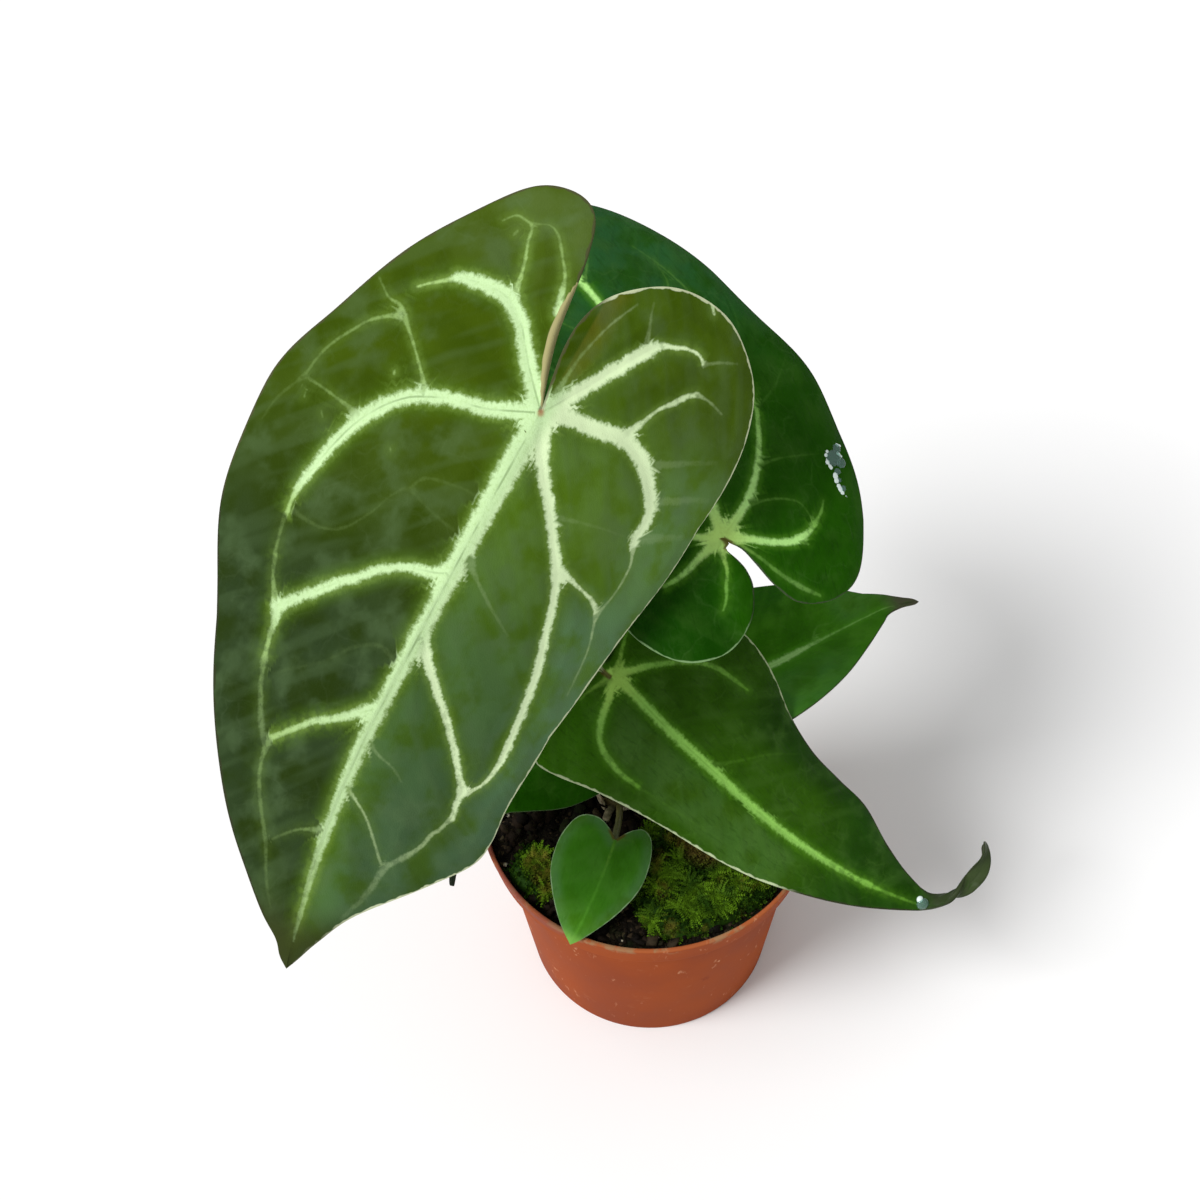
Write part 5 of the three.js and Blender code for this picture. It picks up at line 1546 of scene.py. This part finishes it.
def moss_share(name, x, y):
    """0 in the middle of a cushion, 1 at its edge."""
    moss = MOSS[name]
    turn = math.radians(moss["turn"])
    dx, dy = x - moss["x"], y - moss["y"]
    px, py = dx * math.cos(turn) + dy * math.sin(turn), dy * math.cos(turn) - dx * math.sin(turn)
    angle = math.atan2(py / moss["b"], px / moss["a"])
    return math.hypot(px / moss["a"], py / moss["b"]) / lobes(angle)


def in_moss(x, y):
    return any(moss_share(name, x, y) < MOSS_CLEAR for name in MOSS)


def ground(x, y):
    """Height of the highest surface, mix or moss, at a place."""
    top = soil_height(x, y)
    for name, moss in MOSS.items():
        share = moss_share(name, x, y)
        if share < 1:
            top = max(top, MOSS_WAIST + moss["height"] * math.sqrt(1 - share**2))
    return top


print("top of the front cushion:", round(ground(17.5, -27), 1))

# %% [markdown]
# ## Shapes of chips and fibres
# A chip is a cube whose faces are cut in four, with its points pushed about and flattened. A fibre
# is a thin bent rod. A few of each are enough, as every copy is turned and sized anew.

# %% Chips and fibres
def build_chip(seed):
    """A flat, rough lump about one unit long. Small copies of it serve as crumbs."""
    def build(bm):
        rng = random.Random(seed)
        bmesh.ops.create_cube(bm, size=1)
        bmesh.ops.subdivide_edges(bm, edges=bm.edges[:], cuts=1, use_grid_fill=True)
        for vert in bm.verts:
            rough = 1 - 0.22 * vert.co.length + rng.uniform(-0.14, 0.14)
            vert.co = Vector((vert.co.x * 1.5, vert.co.y * 0.9, vert.co.z * 0.45)) * rough
    return build


def build_fibre(seed):
    """A bent hair of five sides, one unit long."""
    def build(bm):
        rng = random.Random(seed)
        bend = rng.uniform(-0.5, 0.5)
        line = [Vector((t - 0.5, bend * (t - 0.5) ** 2 * 2, 0.12 * math.sin(t * 5 + seed)))
                for t in (0, 0.2, 0.4, 0.6, 0.8, 1)]
        add_rod(bm, line, lambda share: 0.028 * (1 - 0.5 * share), 5)
    return build

CHIP_SHAPES, FIBRE_SHAPES = 6, 5
chips = [mesh_of(build_chip(seed)) for seed in range(CHIP_SHAPES)]
fibres = [mesh_of(build_fibre(seed)) for seed in range(FIBRE_SHAPES)]
print("faces of a chip and a fibre:", len(chips[0].polygons), len(fibres[0].polygons))

# %% [markdown]
# ## Loose bark on the mix
# The pieces are strewn over the mix, and only some fibres lie on moss. The square root of a random
# number keeps them from crowding in the middle.

# %% Strew the bark
STREW = {"chip": (420, 2.2, 5.5), "crumb": (1500, 0.7, 1.8), "fibre": (110, 6, 16)}  # how many, sizes

rng = random.Random(7)
places = []
for kind, (amount, low, high) in STREW.items():
    for _ in range(amount):
        angle, far = rng.uniform(0, 2 * math.pi), (SOIL_RADIUS - 2.5) * math.sqrt(rng.random())
        x, y = far * math.cos(angle), far * math.sin(angle)
        size, tone = rng.uniform(low, high), rng.random()
        if in_moss(x, y) and (kind != "fibre" or rng.random() < 0.75):
            continue
        if kind == "fibre" and far > SOIL_RADIUS - size / 2 - 2:
            continue
        if kind == "fibre":
            shape = CHIP_SHAPES + rng.randrange(FIBRE_SHAPES)
            places.append((shape, spread(rng, x, y, ground(x, y) + 0.4, size, 0.12), tone))
        else:
            shape = rng.randrange(CHIP_SHAPES)
            places.append((shape, spread(rng, x, y, soil_height(x, y) + size * 0.1, size, 0.45), tone))
bm = scatter(chips + fibres, places)

# %% [markdown]
# ## Look of the loose bark
# Most pieces are dark and a few are dry and pale, as their tone tells. A grain runs through them.

# %% Bark chip finish
finish = Finish("bark_chip", Roughness=0.75, Specular_IOR_Level=0.12)
where, tone = finish.place(), finish.read("tone")
wood_grain = finish.noise(finish.vector("MULTIPLY", where, (300, 700, 900)), 1, 4)
colour = finish.mix(finish.step(tone, 0, 0.8), (0.004, 0.003, 0.002), (0.018, 0.011, 0.006))
colour = finish.mix(finish.step(tone, 0.9, 1, 0, 0.8), colour, (0.1, 0.075, 0.04))
film = finish.step(finish.noise(where, 130, 3), 0.52, 0.66, 0, 0.6)
colour = finish.mix(film, colour, (0.02, 0.03, 0.006))
colour = finish.mix(finish.step(wood_grain, 0.45, 0.7, 0, 0.5), colour, (0.012, 0.009, 0.006))
bark_chip = finish.wear(Base_Color=colour, Normal=finish.bump(wood_grain, 0.7, 0.0006))
make_piece("bark_chips", bm, bark_chip, recalc=False)

# %% [markdown]
# ## A mottled skin
# Rhizome, roots, sheaths and perlite each have two tones of one colour. One noise mixes the tones
# and also roughens the surface.

# %% Mottled finish
def mottled(finish, where, scale, detail, softness, tones, strength, depth):
    """softness: how far from the middle of the noise each tone is pure. depth is in metres."""
    blotch = finish.noise(where, scale, detail)
    colour = finish.mix(finish.step(blotch, 0.5 - softness, 0.5 + softness), *tones)
    return finish.wear(Base_Color=colour, Normal=finish.bump(blotch, strength, depth))


print("mottled: rhizome, roots, sheaths, perlite")

# %% [markdown]
# ## Rhizome
# Everything grows from a knob that is ringed by the scars of old leaves. Its profile, with four
# ridges for the scars, is spun like the pot's, and noise then makes it uneven.

# %% Rhizome
STEM_X, STEM_Y, STEM_RADIUS, STEM_FOOT, STEM_TOP = -11, 2, 5.6, 72, 104
stem_profile = [(0, STEM_FOOT), (3.4, STEM_FOOT), (4.6, STEM_FOOT + 7), (5.2, STEM_FOOT + 14),
                (STEM_RADIUS, STEM_FOOT + 21)]
for k in range(4):
    z = STEM_FOOT + 22.2 + k * 1.9
    stem_profile += [(STEM_RADIUS - 0.12 * k, z), (STEM_RADIUS - 0.35 - 0.12 * k, z + 0.5),
                     (STEM_RADIUS + 0.1 - 0.14 * k, z + 1.3)]
stem_profile += [(4.3, STEM_TOP - 3), (3, STEM_TOP - 1.4), (1.4, STEM_TOP - 0.3), (0, STEM_TOP)]
bm = spin_profile(stem_profile, 40)
for vert in bm.verts:
    rough = noise.noise(Vector((vert.co.x / 2.5, vert.co.y / 2.5, vert.co.z / 2)))
    vert.co += Vector((vert.co.x, vert.co.y, 0)).normalized() * rough * 0.5
    vert.co += Vector((STEM_X, STEM_Y, 0))

finish = Finish("rhizome_bark", Roughness=0.75, Specular_IOR_Level=0.3)
rhizome_tones = (0.09, 0.085, 0.03), (0.3, 0.24, 0.1)
rhizome_bark = mottled(finish, finish.place(), 380, 4, 0.15, rhizome_tones, 0.8, 0.0012)
make_piece("rhizome", bm, rhizome_bark, ("stem",))

# %% [markdown]
# ## Roots
# Stubby aerial roots arch out of the rhizome and dig into the mix. Each is a rod through four points,
# and it thins towards its end.

# %% Roots
# direction in degrees, reach, height at the rhizome, radius
ROOTS = [(-112, 9, 94, 1.5), (-22, 13, 93, 1.5), (32, 9, 92, 1.3), (98, 11, 91.5, 1.5)]
ROOT_RISE, ROOT_FALL, ROOT_DIG, ROOT_TAPER = 0.3, 3.5, 11, 0.25
ROOT_RINGS, ROOT_SIDES = 30, 16

finish = Finish("root_skin", Roughness=0.8, Specular_IOR_Level=0.3)
root_tones = (0.16, 0.14, 0.08), (0.38, 0.32, 0.2)
root_skin = mottled(finish, finish.place(), 600, 4, 0.15, root_tones, 0.6, 0.0006)

for number, (angle, reach, height, radius) in enumerate(ROOTS, 1):
    c, s = math.cos(math.radians(angle)), math.sin(math.radians(angle))
    via = [(STEM_X + r * c, STEM_Y + r * s, z) for r, z in (
        (STEM_RADIUS - 0.6, height - ROOT_RISE), (STEM_RADIUS + reach * 0.35, height + ROOT_RISE),
        (STEM_RADIUS + reach * 0.8, height - ROOT_FALL), (STEM_RADIUS + reach, height - ROOT_DIG))]
    line, length = centripetal(via, ROOT_RINGS)
    bm = bmesh.new()
    add_rod(bm, line, lambda share: radius * (1 - ROOT_TAPER * share), ROOT_SIDES)
    for vert in bm.verts:
        vert.co += vert.co.normalized() * noise.noise(vert.co / 1.6) * 0.12
    make_piece(f"aerial_root_{number}", bm, root_skin, (f"root_{number}",))

# %% [markdown]
# ## Dried sheaths
# A papery sheath once wrapped each young leaf, and two still stand beside the rhizome. A grid is
# extruded to a thin sheet, wrapped round the rhizome, narrowed to a frayed tip and leant outwards.

# %% Dried sheaths
# direction in degrees, width, height of the tip, how far it leans out
SHEATHS = [(-145, 4.4, 109, 3.4), (-58, 4.6, 106, 4)]
SHEATH_FOOT, SHEATH_THICK, SHEATH_CLEAR = 88, 0.8, 1.2

finish = Finish("dry_sheath", Roughness=0.8, Specular_IOR_Level=0.25)
fibrous = finish.vector("MULTIPLY", finish.place(), (1500, 1500, 120))
sheath_tones = (0.42, 0.3, 0.16), (0.95, 0.85, 0.6)
dry_sheath = mottled(finish, fibrous, 1, 4, 0.2, sheath_tones, 0.6, 0.0005)
near = STEM_RADIUS + SHEATH_CLEAR

for number, (angle, width, tip, lean) in enumerate(SHEATHS, 1):
    bm = bmesh.new()
    bmesh.ops.create_grid(bm, x_segments=10, y_segments=26, size=0.5)
    made = bmesh.ops.extrude_face_region(bm, geom=bm.faces[:], use_keep_orig=True)["geom"]
    upper = {item for item in made if isinstance(item, bmesh.types.BMVert)}
    for vert in bm.verts:
        across, share = vert.co.x, vert.co.y + 0.5
        layer = 0.5 if vert in upper else -0.5
        taper = math.sqrt(max(0.03, 1 - share**3))
        turn = math.radians(angle) + across * width * taper / near
        fray = 0.25 * noise.noise(Vector((across * 9, share * 7, angle)))
        radius = near + layer * SHEATH_THICK * (1 - 0.5 * share) + lean * share**2 + fray
        vert.co = (STEM_X + radius * math.cos(turn), STEM_Y + radius * math.sin(turn),
                   SHEATH_FOOT + share * (tip - SHEATH_FOOT))
    make_piece(f"dried_sheath_{number}", bm, dry_sheath, (f"sheath_{number}",))

# %% [markdown]
# ## Moss shoots
# Moss is many tiny leafy shoots: whorls of pointed leaflets, or a feathery frond. Each leaflet is
# one four-sided face, because thousands are needed and each is less than a millimetre wide.

# %% Shoots and fronds
def leaflet(bm, base, middle, side, tip):
    """A pointed face that is widest at its middle."""
    corners = (base, middle + side, tip, middle - side)
    bmesh.ops.contextual_create(bm, geom=[bm.verts.new(corner) for corner in corners])


def build_shoot(seed):
    """Three whorls of four leaflets, each whorl smaller and steeper than the last."""
    def build(bm):
        rng = random.Random(seed)
        for level in range(3):
            for k in range(4):
                angle = 2 * math.pi * (k + 0.5 * level) / 4 + rng.uniform(-0.3, 0.3)
                foot, reach = 0.28 * level, 0.55 - 0.12 * level
                lift = 0.25 + 0.2 * level
                c, s = math.cos(angle), math.sin(angle)
                base = Vector((0, 0, foot))
                tip = base + Vector((c * reach, s * reach, lift))
                middle = base + Vector((c * reach * 0.5, s * reach * 0.5, lift * 0.7))
                leaflet(bm, base, middle, Vector((-s, c, 0)) * 0.12, tip)
    return build


def build_frond(seed):
    """A feathery shoot along X, one unit long, that arches and droops."""
    def build(bm):
        rng = random.Random(seed)
        steps = 6
        for k in range(steps):
            t = (k + 0.6) / steps
            base = Vector((t, 0, 0.35 * t - 0.5 * t * t))
            for side in (-1, 1):
                reach = 0.3 * (1 - 0.65 * t) * rng.uniform(0.8, 1.2)
                tip = base + Vector((reach * 0.8, side * reach, -0.08 + rng.uniform(-0.05, 0.05)))
                leaflet(bm, base, base.lerp(tip, 0.45), Vector((0.06, -side * 0.03, 0.03)), tip)
    return build


MOSS_SHAPES = 5
shoots = [mesh_of(build_shoot(seed)) for seed in range(MOSS_SHAPES)]
shoots += [mesh_of(build_frond(seed)) for seed in range(MOSS_SHAPES)]
print("faces of a shoot and a frond:", len(shoots[0].polygons), len(shoots[-1].polygons))

# %% [markdown]
# ## Look of the moss
# Moss is painted dark in its depth as shade, and yellow-green at its tips, so each copy's tone picks between
# the two.
# Slow noise adds brownish and dark patches, and one spot has withered.

# %% Moss finish
WITHERED = (0.02, -0.019, 0)  # metres

finish = Finish("moss_green", Roughness=0.75, Specular_IOR_Level=0.1)
where, tone = finish.place(), finish.read("tone")
patch = finish.noise(where, 75, 4)
# The dark end of the tones is painted shade in the depth of the cushion.
colour = finish.mix(finish.step(tone, 0.1, 0.9), (0.014, 0.046, 0.002), (0.11, 0.23, 0.007))
colour = finish.mix(finish.step(patch, 0.54, 0.68, 0, 0.7), colour, (0.2, 0.16, 0.02))
colour = finish.mix(finish.step(patch, 0.47, 0.36, 0, 0.75), colour, (0.016, 0.055, 0.003))
level_place = finish.vector("MULTIPLY", where, (1, 1, 0))
withered = finish.vector("DISTANCE", level_place, WITHERED, "Value")
colour = finish.mix(finish.step(withered, 0.012, 0.003, 0, 0.7), colour, (0.3, 0.2, 0.05))
moss_green = finish.wear(Base_Color=colour)

print("moss turns brown round", WITHERED[:2])

# %% [markdown]
# ## Places on a cushion
# Shoots stand close together and lean outwards near the edge. Between them rise bright tufts of
# fronds, each from one foot.

# %% Places of shoots and tufts
FRONDS = 24  # in a tuft


def cushion_place(moss, share, angle):
    """The place at this share of the way from a cushion's middle to its edge."""
    px, py = (share * lobes(angle) * side for side in (
        moss["a"] * math.cos(angle), moss["b"] * math.sin(angle)))
    c, s = math.cos(math.radians(moss["turn"])), math.sin(math.radians(moss["turn"]))
    return moss["x"] + px * c - py * s, moss["y"] + px * s + py * c


def moss_lump(x, y):
    return 0.9 * noise.noise(Vector((x / 4, y / 4, 0.3)))


def shoot_places(rng, moss, amount):
    places = []
    while len(places) < amount:
        share, angle = math.sqrt(rng.random()) * 1.02, rng.uniform(0, 2 * math.pi)
        x, y = cushion_place(moss, share, angle)
        if math.hypot(x, y) > SOIL_RADIUS - 1.5:
            continue
        rise = math.sqrt(max(0, 1 - min(1, share) ** 2))
        top = MOSS_WAIST + moss["height"] * rise + moss_lump(x, y)
        size = rng.uniform(1.3, 2.5)
        away = Vector((x - moss["x"], y - moss["y"], 0)) / moss["a"]
        lean = Euler((-away.y * 0.9 + rng.gauss(0, 0.35), away.x * 0.9 + rng.gauss(0, 0.35),
                      rng.uniform(0, 6.3))).to_matrix().to_4x4()
        matrix = Matrix.Translation((x, y, max(top, soil_height(x, y)) - size * 0.45)) @ lean
        # Low shoots take the darker tones: painted shade in the depth.
        places.append((rng.randrange(MOSS_SHAPES), matrix @ sized(size), rng.random() * 0.6))
    return places


def tuft_places(rng, moss, tufts):
    places = []
    while tufts:
        share, angle = math.sqrt(rng.random()) * 0.92, rng.uniform(0, 2 * math.pi)
        x, y = cushion_place(moss, share, angle)
        if math.hypot(x, y) > SOIL_RADIUS - 6:
            continue
        tufts -= 1
        bright = rng.uniform(0.35, 1)
        top = MOSS_WAIST + moss["height"] * math.sqrt(1 - share**2) + 1
        for _ in range(FRONDS):
            size, spin = rng.uniform(2.6, 5.6), rng.uniform(0, 2 * math.pi)
            frond = Matrix.Rotation(spin, 4, "Z") @ Matrix.Rotation(rng.uniform(-0.5, 0.25), 4, "Y")
            frond = frond @ Matrix.Rotation(rng.gauss(0, 0.4), 4, "X") @ sized(size)
            foot = Vector((x + rng.gauss(0, 0.5), y + rng.gauss(0, 0.5), top + rng.uniform(-0.6, 0.6)))
            tone = min(1, max(0, bright + rng.gauss(0, 0.15)))
            shape = MOSS_SHAPES + rng.randrange(MOSS_SHAPES)
            places.append((shape, Matrix.Translation(foot) @ frond, tone))
    return places


print("edge of the front cushion:", [round(c, 1) for c in cushion_place(MOSS["moss_front"], 1, 0)])

# %% [markdown]
# ## Moss cushions
# The shoots of a cushion are one piece. Below them lies a closed mound, a sphere pressed to the
# cushion's outline, so that no gap shows.

# %% Shoots and mounds
MOUND_DEPTH = 3

for name, amount, tufts in (("moss_front", 2200, 60), ("moss_left", 500, 12)):
    moss = MOSS[name]
    rng = random.Random(name)
    places = shoot_places(rng, moss, amount)
    places += tuft_places(rng, moss, tufts)
    make_piece(name + "_shoots", scatter(shoots, places), moss_green, recalc=False)

    bm = bmesh.new()
    bmesh.ops.create_icosphere(bm, subdivisions=5, radius=1)
    for vert in bm.verts:
        share, angle = math.hypot(vert.co.x, vert.co.y), math.atan2(vert.co.y, vert.co.x)
        x, y = cushion_place(moss, share, angle)
        tall, lump = (moss["height"], moss_lump(x, y)) if vert.co.z > 0 else (MOUND_DEPTH, 0)
        vert.co = (x, y, MOSS_WAIST + vert.co.z * tall + lump - 0.3)
    make_piece(name + "_mound", bm, moss_green, (name,))

# %% [markdown]
# ## Perlite
# A few pale grains lie in the mix, each a small sphere that noise has made lumpy.

# %% Perlite grains
GRAINS = [(-49.8, -25.3, 0.8), (3.5, -51.9, 0.5), (-4.2, -54, 0.35), (-8.6, -53.5, 0.4), (-41, 10, 1.1),
          (-30, 28, 1.2), (12, 30, 1), (34, 18, 1.2), (44, -4, 0.9), (-20, -30, 0.8), (22, 44, 1.1),
          (-10, 46, 0.9), (-50, -6, 0.8)]  # place and size
GRAIN_SHAPES = 3


def build_grain(seed):
    def build(bm):
        rng = random.Random(seed)
        bmesh.ops.create_icosphere(bm, subdivisions=2, radius=1)
        for vert in bm.verts:
            vert.co *= 1 + 0.3 * noise.noise(vert.co * 1.7 + Vector((seed, 0, 0))) + rng.uniform(-0.06, 0.06)
    return build


rng = random.Random(11)
grains = [mesh_of(build_grain(seed)) for seed in range(GRAIN_SHAPES)]
places = []
for x, y, size in GRAINS:
    shape = rng.randrange(GRAIN_SHAPES)
    places.append((shape, spread(rng, x, y, ground(x, y) + size * 0.4, size), rng.random()))

finish = Finish("perlite_grain", Roughness=0.9)
perlite_tones = (0.42, 0.36, 0.24), (0.72, 0.68, 0.55)
perlite_grain = mottled(finish, finish.place(), 900, 3, 0.2, perlite_tones, 0.5, 0.0005)
make_piece("perlite_grains", scatter(grains, places), perlite_grain, recalc=False)

# %% [markdown]
# ## Water drops
# Drops of water are left on two leaves. A drop is a sphere, squashed along the blade's upward
# direction and half sunk into it. Clear water lets the leaf show through.

# %% Clear drops
TIP_DROP = (140.5, -1, 2.3)  # place on the blade, size
PUDDLE_DROPS = [(18.6, -49.2, 3.3), (16.8, -51.2, 2.2), (21.2, -51.6, 2.2), (14.4, -48.6, 1.6),
                (9.3, -48.6, 1.6), (11.9, -48.2, 1.3)]
DOME, PUDDLE = 0.6, 0.3  # height of a drop on the drip tip and of the puddle, as shares of the width


def add_drop(bm, blade, u, v, size, flat):
    spot, upward = on_leaf(blade, u, v)
    turn = upward.to_track_quat("Z", "Y").to_matrix().to_4x4()
    shape = Matrix.Diagonal((size, size * 0.85, size * flat, 1))
    bmesh.ops.create_uvsphere(bm, u_segments=20, v_segments=12, radius=1,
                              matrix=Matrix.Translation(spot + upward * 0.45) @ turn @ shape)


clear = Finish("clear_water", Base_Color=(0.5, 0.85, 0.74), Roughness=0.04, IOR=1.33,
               Transmission_Weight=0.85).material
bm = bmesh.new()
add_drop(bm, "blade_3", *TIP_DROP, DOME)
for drop in PUDDLE_DROPS:
    add_drop(bm, "blade_2", *drop, PUDDLE)
make_piece("clear_drops", bm, clear)

# %% [markdown]
# ## Painted glints on the water
# Where a puddle curves down to the leaf it mirrors the room and looks white. Rows of small, nearly
# opaque whitish drops along its edge paint that bright, broken line, a painted reflection, and a few more
# such drops paint glints.

# %% Drops and films of painted glint
GLINT_DROPS = [("blade_2", 28.3, -41.2, 0.55), ("blade_2", 22.6, -37.8, 0.3), ("blade_3", 139.3, 0.3, 1.3)]
FILMS = [[(21.9, -53.6), (22.4, -51.6), (21.4, -48.2), (19.4, -46.3), (17.2, -46.2), (15.4, -46.9)],
         [(19.6, -51.2), (18.4, -52.6)], [(13.6, -47.3), (11.4, -47)],
         [(10.3, -47.2), (8.2, -47.8), (6.4, -49.2)]]
FILM_STEP = 0.5

# Painted reflection: nearly opaque whitish water stands for the white that the room makes on the water.
glint = Finish("painted_glint_water", Base_Color=(0.85, 0.98, 0.94), Roughness=0.08, IOR=1.33,
               Transmission_Weight=0.15).material
rng = random.Random(31)
bm = bmesh.new()
for blade, u, v, size in GLINT_DROPS:
    add_drop(bm, blade, u, v, size, 0.7)
for film in FILMS:
    for (u0, v0), (u1, v1) in zip(film, film[1:]):
        count = math.ceil(math.hypot(u1 - u0, v1 - v0) / FILM_STEP)
        for i in range(count):
            u, v = u0 + (u1 - u0) * i / count, v0 + (v1 - v0) * i / count
            add_drop(bm, "blade_2", u, v, rng.uniform(0.6, 1.15), 0.45)
make_piece("water_drops", bm, glint)

# %% [markdown]
# The dressed plant must stay within the box of its solids, apart from fine detail.
